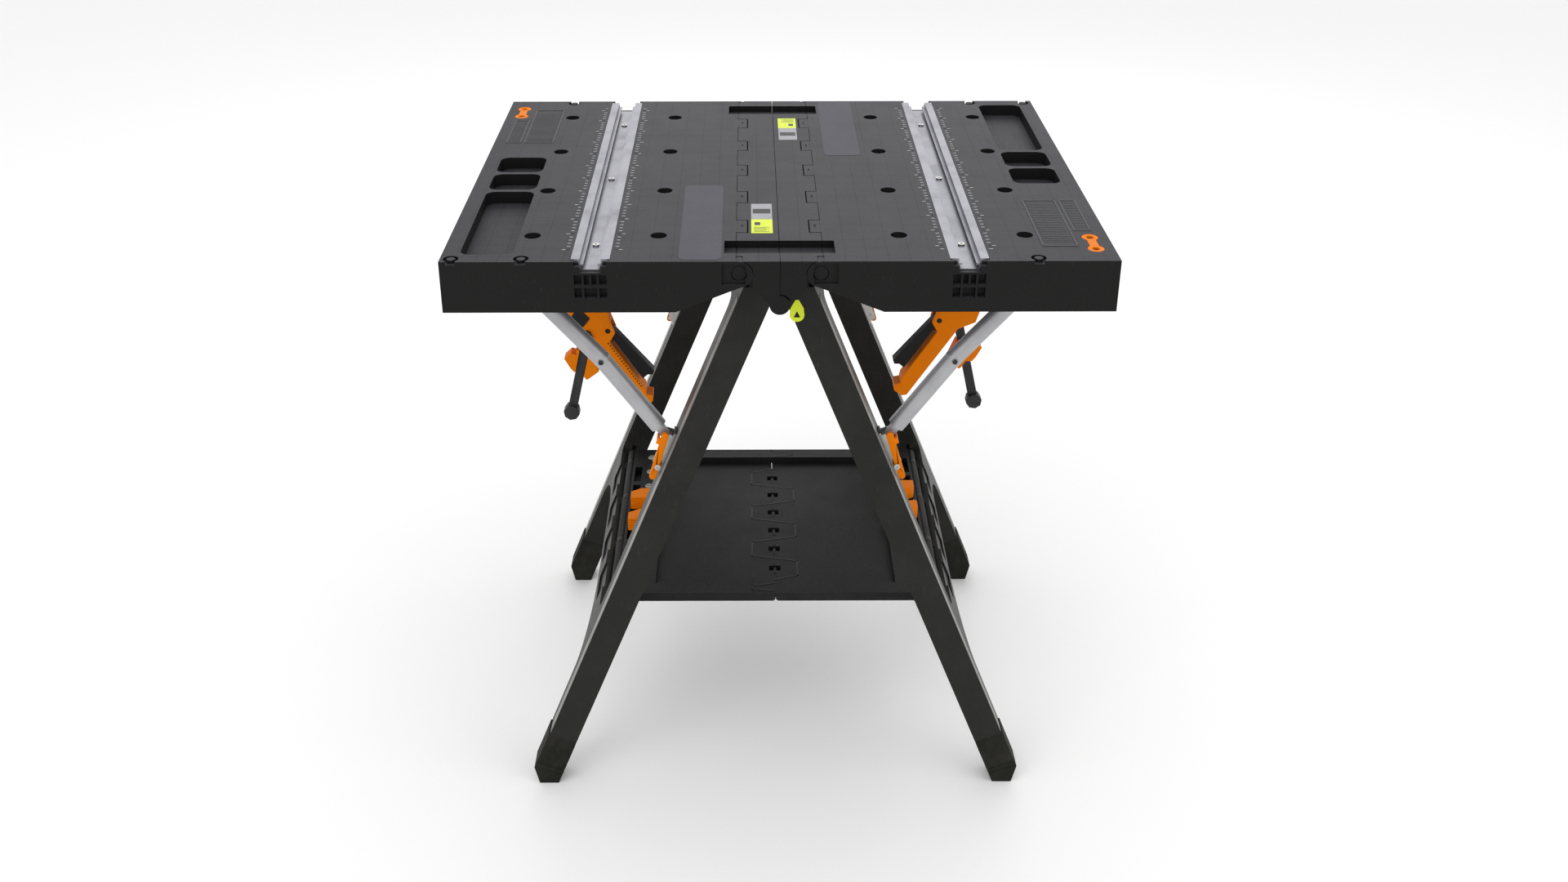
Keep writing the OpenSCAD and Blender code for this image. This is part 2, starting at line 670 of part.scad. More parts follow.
// One half: pin_r is its bore for the middle pin, dog_ys where dogs are stored on it
module shelf(pin_r, dog_ys) {
    rim_w = 25;
    rung_ys = [for (i = [-3:3]) i * 54 - 13];
    difference() {
        union() {
            difference() {
                translate([0, 0, shelf_bottom]) linear_extrude(shelf_t) shelf_outline();
                box([land_x, -shelf_d / 2 + rim_w, shelf_floor], [60, shelf_d / 2 - rim_w, shelf_top + 1]);
            }
            // pivot knuckles at the outer end and in the middle
            rod_y([shelf_hinge_x, shelf_hinge_z], shelf_knuckle_r, -shelf_d / 2, shelf_d / 2);
            for (i = [-2.5, -0.5, 1.5]) {
                y = i * finger_pitch;
                rod_y([0, mid_z], mid_knuckle_r, y - 14, y + 14);
                box([-10, y - 8, mid_z - 7], [10, y + 8, shelf_bottom + 1]);
            }
        }
        // clear of the leg frame's lugs
        for (y = lug_ys) rod_y([shelf_hinge_x, shelf_hinge_z], shelf_knuckle_r + 1.4, y - lug_l / 2 - part_gap, y + lug_l / 2 + part_gap);
        rod_y([shelf_hinge_x, shelf_hinge_z], shelf_rod_d / 2 + pin_clear, -shelf_d, shelf_d);
        // windows over the middle pin, with a tub under each
        for (i = [-2.5:2.5]) translate([0, i * finger_pitch, 0])
            box([-8, -6, mid_z - 4], [8, 6, shelf_top + 1]);
        rod_y([0, mid_z], pin_r, -shelf_d, shelf_d);
        // ladder of blind slots by the outer pivot
        for (y = rung_ys) if (abs(y + 27) < shelf_d / 2 - 24)
            box([shelf_hinge_x + 8, y + 5, shelf_bottom + 2], [shelf_hinge_x + 19, y + 49, shelf_top + 1]);
        for (y = dog_ys) translate([shelf_dog_x, y, shelf_bottom - 1]) cylinder(d = dog_hole_d, h = 40);
        // spare sockets
        for (y = [85, 128, 172]) translate([shelf_dog_x, y, shelf_bottom + 3]) cylinder(r = 6, h = 40);
    }
}

module shelf_middle_pin() {
    rod_y([0, mid_z], mid_pin_d / 2, -3 * finger_pitch, 3 * finger_pitch);
}

module dog(y) {
    translate([shelf_dog_x, y, 0]) {
        difference() {
            union() {
                translate([0, 0, shelf_top]) linear_extrude(dog_h) polygon([[-dog_l / 2, -dog_w / 2],
                    [dog_l / 2, -dog_w / 2], [dog_l / 2, dog_w / 2 - 9], [dog_l / 2 - 14, dog_w / 2],
                    [-dog_l / 2 + 14, dog_w / 2], [-dog_l / 2, dog_w / 2 - 9]]);
                translate([0, 0, shelf_top - 18]) cylinder(r = peg_r, h = 18 + eps);
            }
            for (i = [0:3]) box([-dog_l, -dog_w / 2 - 1, shelf_top + 3 + i * 4.4], [dog_l, -dog_w / 2 + 1.4, shelf_top + 4.6 + i * 4.4]);
        }
    }
}

// ---- struts and latches ----

// A round bar in the X-Z plane, at a distance y, from p to q
module tube_xz(p, q, r, y) {
    d = q - p;
    translate([p[0], y, p[1]]) rotate([0, atan2(d[0], d[1]), 0]) cylinder(r = r, h = norm(d));
}

// A flat bar in the X-Z plane, at a distance y, from p to q
module flat_xz(p, q, w, t, y) {
    d = q - p;
    translate([p[0], y, p[1]]) rotate([0, atan2(d[0], d[1]), 0])
        translate([-w / 2, -t / 2, 0]) cube([w, t, norm(d)]);
}

module strut() {
    y = -strut_y;
    down = (strut_bend - strut_top) / norm(strut_bend - strut_top);
    up = (strut_bend - strut_low) / norm(strut_bend - strut_low);
    tube_start = strut_top + 24 * down;
    tube_end = strut_low + 16 * up;
    difference() {
        union() {
            rod_y(strut_top, 10, y - strut_flat_t / 2, y + strut_flat_t / 2);
            flat_xz(strut_top + 5 * down, tube_start + 4 * down, 16, strut_flat_t - 1, y);
            tube_xz(tube_start, strut_bend, strut_d / 2, y);
            translate([strut_bend[0], y, strut_bend[1]]) sphere(r = strut_d / 2 + 0.4);
            tube_xz(strut_bend, tube_end, strut_d / 2, y);
            flat_xz(tube_end + 4 * up, strut_low, 10, strut_flat_t - 1, y);
            rod_y(strut_low, 5.5, y - strut_flat_t / 2, y + strut_flat_t / 2);
            // stop screw at the bend
            rod_y(strut_bend, 3.5, y - strut_d / 2 - 1.5, y);
        }
        rod_y(strut_top, strut_rod_d / 2, y - 20, y + 20);
    }
}

module strut_bracket() {
    y = -strut_y;
    gap = strut_flat_t / 2 + part_gap;
    pad_z = tray_floor_z - tray_wall;
    difference() {
        union() {
            box([strut_top[0] - 16, y - gap - 3, pad_z - 3], [strut_top[0] + 16, y + gap + 3, pad_z]);
            for (s = [-1, 1]) {
                y0 = s > 0 ? y + gap : y - gap - 3;
                box([strut_top[0] - 10, y0, strut_top[1]], [strut_top[0] + 10, y0 + 3, pad_z - 2]);
                rod_y(strut_top, 10, y0, y0 + 3);
            }
        }
        rod_y(strut_top, strut_rod_d / 2 + pin_clear, y - 20, y + 20);
    }
}

module strut_brackets() {
    strut_bracket();
    mirror([0, 1, 0]) strut_bracket();
    // block that brings the back bracket down from the skin where there is no tray
    box([strut_top[0] - 16, strut_y - 12, tray_floor_z - tray_wall], [strut_top[0] + 16, strut_y + 12, skin_z]);
}

module strut_rod() {
    rod_y(strut_top, strut_rod_d / 2, -strut_y - 12, strut_y + 12);
}

// Latch bracket on the leg's outer face: base plate and two ears
module latch_bracket() {
    y = -strut_y;
    gap = strut_flat_t / 2 + 1.2;
    leg_space() difference() {
        union() {
            box([-leg_t - 3, y - 10.5, -latch_w - 14], [-leg_t, y + 10.5, -latch_w + 50]);
            for (s = [-1, 1]) {
                y0 = s > 0 ? y + gap : y - gap - 2.5;
                box([-leg_t - 12, y0, -latch_w - 8], [-leg_t - 2, y0 + 2.5, -latch_w + 46]);
            }
        }
        rod_y([-leg_t - latch_h, -latch_w], latch_pin_r, y - 30, y + 30);
    }
}

module latch_pin() {
    face_y = -strut_y - lever_out - 0.2;
    leg_space() difference() {
        union() {
            rod_y([-leg_t - latch_h, -latch_w], latch_pin_r, face_y - 1, -strut_y + 11);
            rod_y([-leg_t - latch_h, -latch_w], 4, face_y - 1.6, face_y);
        }
        rod_y([-leg_t - latch_h, -latch_w], 1.6, face_y - 3, face_y - 0.6);
    }
}

module latch_spring() {
    leg_space() difference() {
        rod_y([-leg_t - latch_h, -latch_w], 3.4, -strut_y - 5, -strut_y + 5);
        rod_y([-leg_t - latch_h, -latch_w], latch_pin_r, -strut_y - 6, -strut_y + 6);
    }
}

module lever() {
    y0 = -strut_y - lever_out;
    leg_space() difference() {
        union() {
            plate_y(y0, y0 + 4.5) polygon(concat(
                arc(-leg_t - 7.5, -latch_w - 16, 4.5, 180, 360),
                arc(-leg_t - 13, -latch_w + lever_l - 21, 4.5, 0, 180)));
            rod_y([-leg_t - latch_h, -latch_w], 4.5, y0, y0 + 4.5);
            // catch under and outside the strut's end
            box([-leg_t - 20.5, y0 + 1, -latch_w + 32.5], [-leg_t - 17.5, -strut_y + 6, -latch_w + 36.5]);
            box([-leg_t - 20.5, y0, -latch_w + 31], [-leg_t - 12, y0 + 4.5, -latch_w + 39]);
        }
        rod_y([-leg_t - latch_h, -latch_w], latch_pin_r + pin_clear, y0 - 5, y0 + 10);
    }
}

// ---- clamps ----

// The clamp's own space: zero at the foot of its bar, Z up the bar
module clamp_space() {
    translate([bar_foot[0], clamp_y, bar_foot[1]]) rotate([0, bar_lean, 0]) children();
}

// Level with the table, zero at the foot of the bar
module clamp_level() {
    translate([bar_foot[0], clamp_y, bar_foot[1]]) children();
}

module clamp_bar() {
    clamp_space() {
        box([-bar_w / 2, -bar_t / 2, 0], [bar_w / 2, bar_t / 2, bar_l]);
        rod_y([0, 0], 11.5, -8, 8, $fn = 8);
    }
}

// Hooks round the back of the bar, which shows in front
module clamp_jaw() {
    difference() {
        clamp_level() plate_y(-10, 10) polygon([[-6, 87], [4, 96], [12, 93], [11, 101], [30, 97], [42, 67],
            [25, 54], [22, 56], [16, 66], [7, 66], [2, 72]]);
        clamp_space() box([-bar_w / 2, -11, 20], [bar_w / 2, bar_t / 2, 110]);
    }
}

module clamp_body() {
    t = clamp_t / 2;
    difference() {
        clamp_level() plate_y(-t, t) polygon([[30, 118], [98, 14], [105, 13], [116, 21], [117, 31], [108, 33],
            [106, 42], [59, 114], [67, 128], [58, 153], [62, 180], [76, 228], [34, 228], [18, 180], [-4, 160], [6, 128]]);
        clamp_space() box([-bar_w / 2 - 0.5, -bar_t / 2 - 0.5, 60], [bar_w / 2 + 0.5, bar_t / 2 + 0.5, 300]);
        // slot that holds the trigger's arm
        clamp_level() plate_y(-8, 8) polygon([[47, 142], [47, 122], [56, 111], [90, 90], [90, 142]]);
        clamp_level() rod_y(trigger_pin, trigger_r + pin_clear, -clamp_t, clamp_t);
    }
}

module clamp_trigger() {
    clamp_level() {
        plate_y(-7, 7) polygon([[51, 126], [51, 136], [58, 138], [68, 128], [119, 67], [117, 61], [110, 61],
            [103, 55], [61, 119.5]]);
        rod_y(trigger_pin, trigger_r, -clamp_t / 2, clamp_t / 2);
    }
}

module clamp_hanger() {
    top = bar_l - 46;
    intersection() {
        difference() {
            clamp_space() box([-15, -12, top], [15, 12, bar_l + 60]);
            // the bar comes out at the bottom and the outer side
            clamp_space() box([-30, -bar_t / 2 - 0.6, 0], [bar_w / 2 + 0.6, bar_t / 2 + 0.6, bar_l + 3]);
        }
        box([-edge_x, -edge_y, 0], [0, edge_y, table_h - track_depth - 5]);
    }
}

// ---- colours and placing ----

module dark() { color([0.13, 0.13, 0.13]) children(); }
module steel() { color([0.62, 0.63, 0.64]) children(); }
module orange() { color([0.93, 0.42, 0.04]) children(); }
module black() { color([0.05, 0.05, 0.05]) children(); }

dark() half(false) spine();  // left_spine
dark() half(true) spine();  // right_spine
dark() half(false) leg_frame();  // left_leg_frame
dark() half(true) leg_frame();  // right_leg_frame
black() half(false) end(false) foot();  // left_front_foot
black() half(false) end(true) foot();  // left_back_foot
black() half(true) end(true) foot();  // right_front_foot
black() half(true) end(false) foot();  // right_back_foot
steel() half(false) apex_pin();  // left_apex_pin
steel() half(true) apex_pin();  // right_apex_pin
steel() half(false) hinge_rod();  // left_hinge_rod
steel() half(true) hinge_rod();  // right_hinge_rod
dark() half(false) wing();  // left_wing
dark() half(true) wing();  // right_wing
steel() half(false) track();  // left_track
steel() half(true) track();  // right_track
steel() half(false) track_screws();  // left_track_screws
steel() half(true) track_screws();  // right_track_screws
orange() half(false) link_key();  // left_link_key
orange() half(true) link_key();  // right_link_key
steel() half(false) strut_brackets();  // left_strut_brackets
steel() half(true) strut_brackets();  // right_strut_brackets
steel() half(false) strut_rod();  // left_strut_rod
steel() half(true) strut_rod();  // right_strut_rod
steel() half(false) end(false) strut();  // left_front_strut
steel() half(false) end(true) strut();  // left_back_strut
steel() half(true) end(true) strut();  // right_front_strut
steel() half(true) end(false) strut();  // right_back_strut
steel() half(false) for (b = [false, true]) end(b) latch_bracket();  // left_latch_brackets
steel() half(true) for (b = [false, true]) end(b) latch_bracket();  // right_latch_brackets
black() half(false) for (b = [false, true]) end(b) latch_pin();  // left_latch_pins
black() half(true) for (b = [false, true]) end(b) latch_pin();  // right_latch_pins
steel() half(false) for (b = [false, true]) end(b) latch_spring();  // left_latch_springs
steel() half(true) for (b = [false, true]) end(b) latch_spring();  // right_latch_springs
orange() half(false) end(false) lever();  // left_front_lever
orange() half(false) end(true) lever();  // left_back_lever
orange() half(true) end(true) lever();  // right_front_lever
orange() half(true) end(false) lever();  // right_back_lever
dark() half(false) shelf(mid_pin_d / 2, left_dog_ys);  // left_shelf
dark() half(true) shelf(mid_pin_d / 2 + pin_clear, right_dog_ys);  // right_shelf
steel() half(false) shelf_rod();  // left_shelf_rod
steel() half(true) shelf_rod();  // right_shelf_rod
steel() shelf_middle_pin();
orange() half(false) dog(left_dog_ys[0]);  // left_front_dog
orange() half(false) dog(left_dog_ys[1]);  // left_back_dog
orange() half(true) dog(right_dog_ys[0]);  // right_front_dog
orange() half(true) dog(right_dog_ys[1]);  // right_back_dog
black() half(false) clamp_hanger();  // left_clamp_hanger
black() half(true) clamp_hanger();  // right_clamp_hanger
orange() half(false) clamp_body();  // left_clamp_body
orange() half(true) clamp_body();  // right_clamp_body
black() half(false) clamp_trigger();  // left_clamp_trigger
black() half(true) clamp_trigger();  // right_clamp_trigger
black() half(false) clamp_bar();  // left_clamp_bar
black() half(true) clamp_bar();  // right_clamp_bar
orange() half(false) clamp_jaw();  // left_clamp_jaw
orange() half(true) clamp_jaw();  // right_clamp_jaw
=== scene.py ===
# Folding work table: finishes, small details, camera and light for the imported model
import math

import bmesh
import bpy
from mathutils import Matrix, Vector


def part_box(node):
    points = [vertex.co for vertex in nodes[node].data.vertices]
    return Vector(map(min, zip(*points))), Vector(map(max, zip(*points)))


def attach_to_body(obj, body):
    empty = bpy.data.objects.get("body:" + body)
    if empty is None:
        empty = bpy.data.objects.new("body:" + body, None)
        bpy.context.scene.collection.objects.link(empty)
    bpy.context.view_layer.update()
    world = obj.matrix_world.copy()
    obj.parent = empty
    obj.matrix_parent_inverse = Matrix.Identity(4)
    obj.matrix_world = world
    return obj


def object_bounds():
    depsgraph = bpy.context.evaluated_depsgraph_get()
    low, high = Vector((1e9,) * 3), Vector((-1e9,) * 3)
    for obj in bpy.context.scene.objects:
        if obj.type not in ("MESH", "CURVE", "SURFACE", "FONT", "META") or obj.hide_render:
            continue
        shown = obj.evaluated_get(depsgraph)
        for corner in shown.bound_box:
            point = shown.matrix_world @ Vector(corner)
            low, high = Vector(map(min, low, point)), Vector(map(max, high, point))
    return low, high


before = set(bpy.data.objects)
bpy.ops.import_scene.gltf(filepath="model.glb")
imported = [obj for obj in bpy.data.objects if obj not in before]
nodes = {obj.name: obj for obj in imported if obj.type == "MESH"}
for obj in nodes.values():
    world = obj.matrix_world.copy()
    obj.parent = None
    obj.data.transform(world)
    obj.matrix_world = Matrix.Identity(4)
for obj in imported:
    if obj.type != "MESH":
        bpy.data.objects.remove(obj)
cadLow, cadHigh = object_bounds()
tableTop = cadHigh.z
print("frame loaded:", len(nodes), "nodes, top at", round(tableTop, 3))


def addNode(tree, kind, inputs=None, **settings):
    node = tree.nodes.new(kind)
    for key, value in settings.items():
        setattr(node, key, value)
    for key, value in (inputs or {}).items():
        node.inputs[key].default_value = value
    return node


def link(tree, source, outName, target, inName):
    tree.links.new(source.outputs[outName], target.inputs[inName])


def newGroup(name, inputs, outputs):
    # inputs: {name: (socket type, default)}, outputs: {name: socket type}
    group = bpy.data.node_groups.new(name, "ShaderNodeTree")
    for label, (kind, value) in inputs.items():
        socket = group.interface.new_socket(name=label, in_out="INPUT", socket_type=kind)
        socket.default_value = value
    for label, kind in outputs.items():
        group.interface.new_socket(name=label, in_out="OUTPUT", socket_type=kind)
    return group, group.nodes.new("NodeGroupInput"), group.nodes.new("NodeGroupOutput")


def buildMouldGrain():
    # spark-eroded texture of moulded plastic, with soft flow clouding
    group, gin, gout = newGroup("mouldGrain",
        {"Grain Scale": ("NodeSocketFloat", 900.0), "Cloud Scale": ("NodeSocketFloat", 9.0)},
        {"Height": "NodeSocketFloat", "Cloud": "NodeSocketFloat"})
    place = addNode(group, "ShaderNodeTexCoord")
    grain = addNode(group, "ShaderNodeTexNoise", {"Detail": 3.0, "Roughness": 0.6})
    pits = addNode(group, "ShaderNodeTexVoronoi", feature="F1")
    cloud = addNode(group, "ShaderNodeTexNoise", {"Detail": 4.0, "Roughness": 0.55, "Distortion": 0.4})
    mix = addNode(group, "ShaderNodeMath", operation="MULTIPLY_ADD")
    mix.inputs[1].default_value = 0.5
    for node in (grain, pits, cloud):
        link(group, place, "Object", node, "Vector")
    link(group, gin, "Grain Scale", grain, "Scale")
    link(group, gin, "Grain Scale", pits, "Scale")
    link(group, gin, "Cloud Scale", cloud, "Scale")
    group.links.new(pits.outputs["Distance"], mix.inputs[0])
    group.links.new(grain.outputs["Fac"], mix.inputs[2])
    group.links.new(mix.outputs[0], gout.inputs["Height"])
    link(group, cloud, "Fac", gout, "Cloud")
    return group


def buildScuffs():
    # fine scratches that run one way, and blotches of handling wear
    group, gin, gout = newGroup("scuffs",
        {"Scratch Scale": ("NodeSocketFloat", 60.0), "Stretch": ("NodeSocketFloat", 14.0),
         "Amount": ("NodeSocketFloat", 0.5)},
        {"Scratch": "NodeSocketFloat", "Blotch": "NodeSocketFloat"})
    place = addNode(group, "ShaderNodeTexCoord")
    split = addNode(group, "ShaderNodeSeparateXYZ")
    join = addNode(group, "ShaderNodeCombineXYZ")
    wide = addNode(group, "ShaderNodeMath", operation="MULTIPLY")
    streak = addNode(group, "ShaderNodeTexNoise", {"Detail": 5.0, "Roughness": 0.7})
    blotch = addNode(group, "ShaderNodeTexNoise", {"Scale": 22.0, "Detail": 6.0, "Roughness": 0.62})
    sharpen = addNode(group, "ShaderNodeMapRange", {"From Min": 0.62, "From Max": 0.74})
    spread = addNode(group, "ShaderNodeMapRange", {"From Min": 0.45, "From Max": 0.75})
    scratchAmount = addNode(group, "ShaderNodeMath", operation="MULTIPLY")
    blotchAmount = addNode(group, "ShaderNodeMath", operation="MULTIPLY")
    link(group, place, "Object", split, "Vector")
    group.links.new(split.outputs["X"], wide.inputs[0])
    group.links.new(gin.outputs["Stretch"], wide.inputs[1])
    group.links.new(wide.outputs[0], join.inputs["X"])
    group.links.new(split.outputs["Y"], join.inputs["Y"])
    group.links.new(split.outputs["Z"], join.inputs["Z"])
    link(group, join, "Vector", streak, "Vector")
    link(group, gin, "Scratch Scale", streak, "Scale")
    link(group, place, "Object", blotch, "Vector")
    link(group, streak, "Fac", sharpen, "Value")
    link(group, blotch, "Fac", spread, "Value")
    group.links.new(sharpen.outputs[0], scratchAmount.inputs[0])
    group.links.new(gin.outputs["Amount"], scratchAmount.inputs[1])
    group.links.new(spread.outputs[0], blotchAmount.inputs[0])
    group.links.new(gin.outputs["Amount"], blotchAmount.inputs[1])
    group.links.new(scratchAmount.outputs[0], gout.inputs["Scratch"])
    group.links.new(blotchAmount.outputs[0], gout.inputs["Blotch"])
    return group


def buildRuledGrid():
    # thin moulded lines in X and Y, a set pitch apart, on faces that look up
    group, gin, gout = newGroup("ruledGrid",
        {"Pitch": ("NodeSocketFloat", 0.025), "Line Width": ("NodeSocketFloat", 0.04)},
        {"Line": "NodeSocketFloat", "Up": "NodeSocketFloat"})
    place = addNode(group, "ShaderNodeTexCoord")
    split = addNode(group, "ShaderNodeSeparateXYZ")
    link(group, place, "Object", split, "Vector")
    lines = []
    for axis in "XY":
        steps = addNode(group, "ShaderNodeMath", operation="DIVIDE")
        part = addNode(group, "ShaderNodeMath", operation="FRACT")
        near = addNode(group, "ShaderNodeMath", operation="LESS_THAN")
        group.links.new(split.outputs[axis], steps.inputs[0])
        group.links.new(gin.outputs["Pitch"], steps.inputs[1])
        group.links.new(steps.outputs[0], part.inputs[0])
        group.links.new(part.outputs[0], near.inputs[0])
        group.links.new(gin.outputs["Line Width"], near.inputs[1])
        lines.append(near)
    either = addNode(group, "ShaderNodeMath", operation="MAXIMUM")
    for index, near in enumerate(lines):
        group.links.new(near.outputs[0], either.inputs[index])
    facing = addNode(group, "ShaderNodeSeparateXYZ")
    up = addNode(group, "ShaderNodeMath", operation="GREATER_THAN")
    up.inputs[1].default_value = 0.9
    both = addNode(group, "ShaderNodeMath", operation="MULTIPLY")
    link(group, place, "Normal", facing, "Vector")
    group.links.new(facing.outputs["Z"], up.inputs[0])
    group.links.new(either.outputs[0], both.inputs[0])
    group.links.new(up.outputs[0], both.inputs[1])
    group.links.new(both.outputs[0], gout.inputs["Line"])
    group.links.new(up.outputs[0], gout.inputs["Up"])
    return group


groups = {"mouldGrain": buildMouldGrain(), "scuffs": buildScuffs(), "ruledGrid": buildRuledGrid()}


def useGroup(tree, name, **values):
    node = tree.nodes.new("ShaderNodeGroup")
    node.node_tree = groups[name]
    for key, value in values.items():
        node.inputs[key].default_value = value
    return node


def mixColour(tree, factor, low, high):
    # low and high are each a colour or an output socket
    mix = addNode(tree, "ShaderNodeMix", data_type="RGBA")
    tree.links.new(factor, mix.inputs[0])
    for slot, value in ((6, low), (7, high)):
        if isinstance(value, bpy.types.NodeSocket):
            tree.links.new(value, mix.inputs[slot])
        else:
            mix.inputs[slot].default_value = (*value, 1)
    return mix.outputs[2]


def finish(name, settings):
    # one finish: two tones that cloud into each other, grain, scuffs and rougher worn spots
    material = bpy.data.materials.new(name)
    material.use_nodes = True
    tree = material.node_tree
    shader = tree.nodes["Principled BSDF"]
    shader.inputs["Metallic"].default_value = settings["metallic"]
    shader.inputs["IOR"].default_value = settings["ior"]
    shader.inputs["Specular IOR Level"].default_value = settings["specular"]
    grain = useGroup(tree, "mouldGrain",
        **{"Grain Scale": settings["grainScale"], "Cloud Scale": settings["cloudScale"]})
    scuff = useGroup(tree, "scuffs", **{"Scratch Scale": settings["scratchScale"],
        "Stretch": settings["stretch"], "Amount": settings["scuffs"]})
    colour = mixColour(tree, grain.outputs["Cloud"], settings["dark"], settings["light"])
    colour = mixColour(tree, scuff.outputs["Blotch"], colour, settings["worn"])
    colour = mixColour(tree, scuff.outputs["Scratch"], colour, settings["scratch"])
    if "gridPitch" in settings:
        grid = useGroup(tree, "ruledGrid",
            **{"Pitch": settings["gridPitch"], "Line Width": settings["gridWidth"]})
        colour = mixColour(tree, grid.outputs["Line"], colour, settings["gridColour"])
        side = mixColour(tree, scuff.outputs["Scratch"], settings["side"], settings["scratch"])
        colour = mixColour(tree, grid.outputs["Up"], side, colour)
    tree.links.new(colour, shader.inputs["Base Color"])
    smoothest, roughest = settings["rough"]
    rough = addNode(tree, "ShaderNodeMapRange", {"To Min": smoothest, "To Max": roughest})
    tree.links.new(grain.outputs["Cloud"], rough.inputs["Value"])
    roughWorn = addNode(tree, "ShaderNodeMath", operation="MULTIPLY_ADD")
    roughWorn.inputs[1].default_value = settings["wornRough"]
    tree.links.new(scuff.outputs["Blotch"], roughWorn.inputs[0])
    tree.links.new(rough.outputs[0], roughWorn.inputs[2])
    tree.links.new(roughWorn.outputs[0], shader.inputs["Roughness"])
    bump = addNode(tree, "ShaderNodeBump", {"Strength": settings["bump"], "Distance": settings["bumpDepth"]})
    tree.links.new(grain.outputs["Height"], bump.inputs["Height"])
    tree.links.new(bump.outputs["Normal"], shader.inputs["Normal"])
    return material


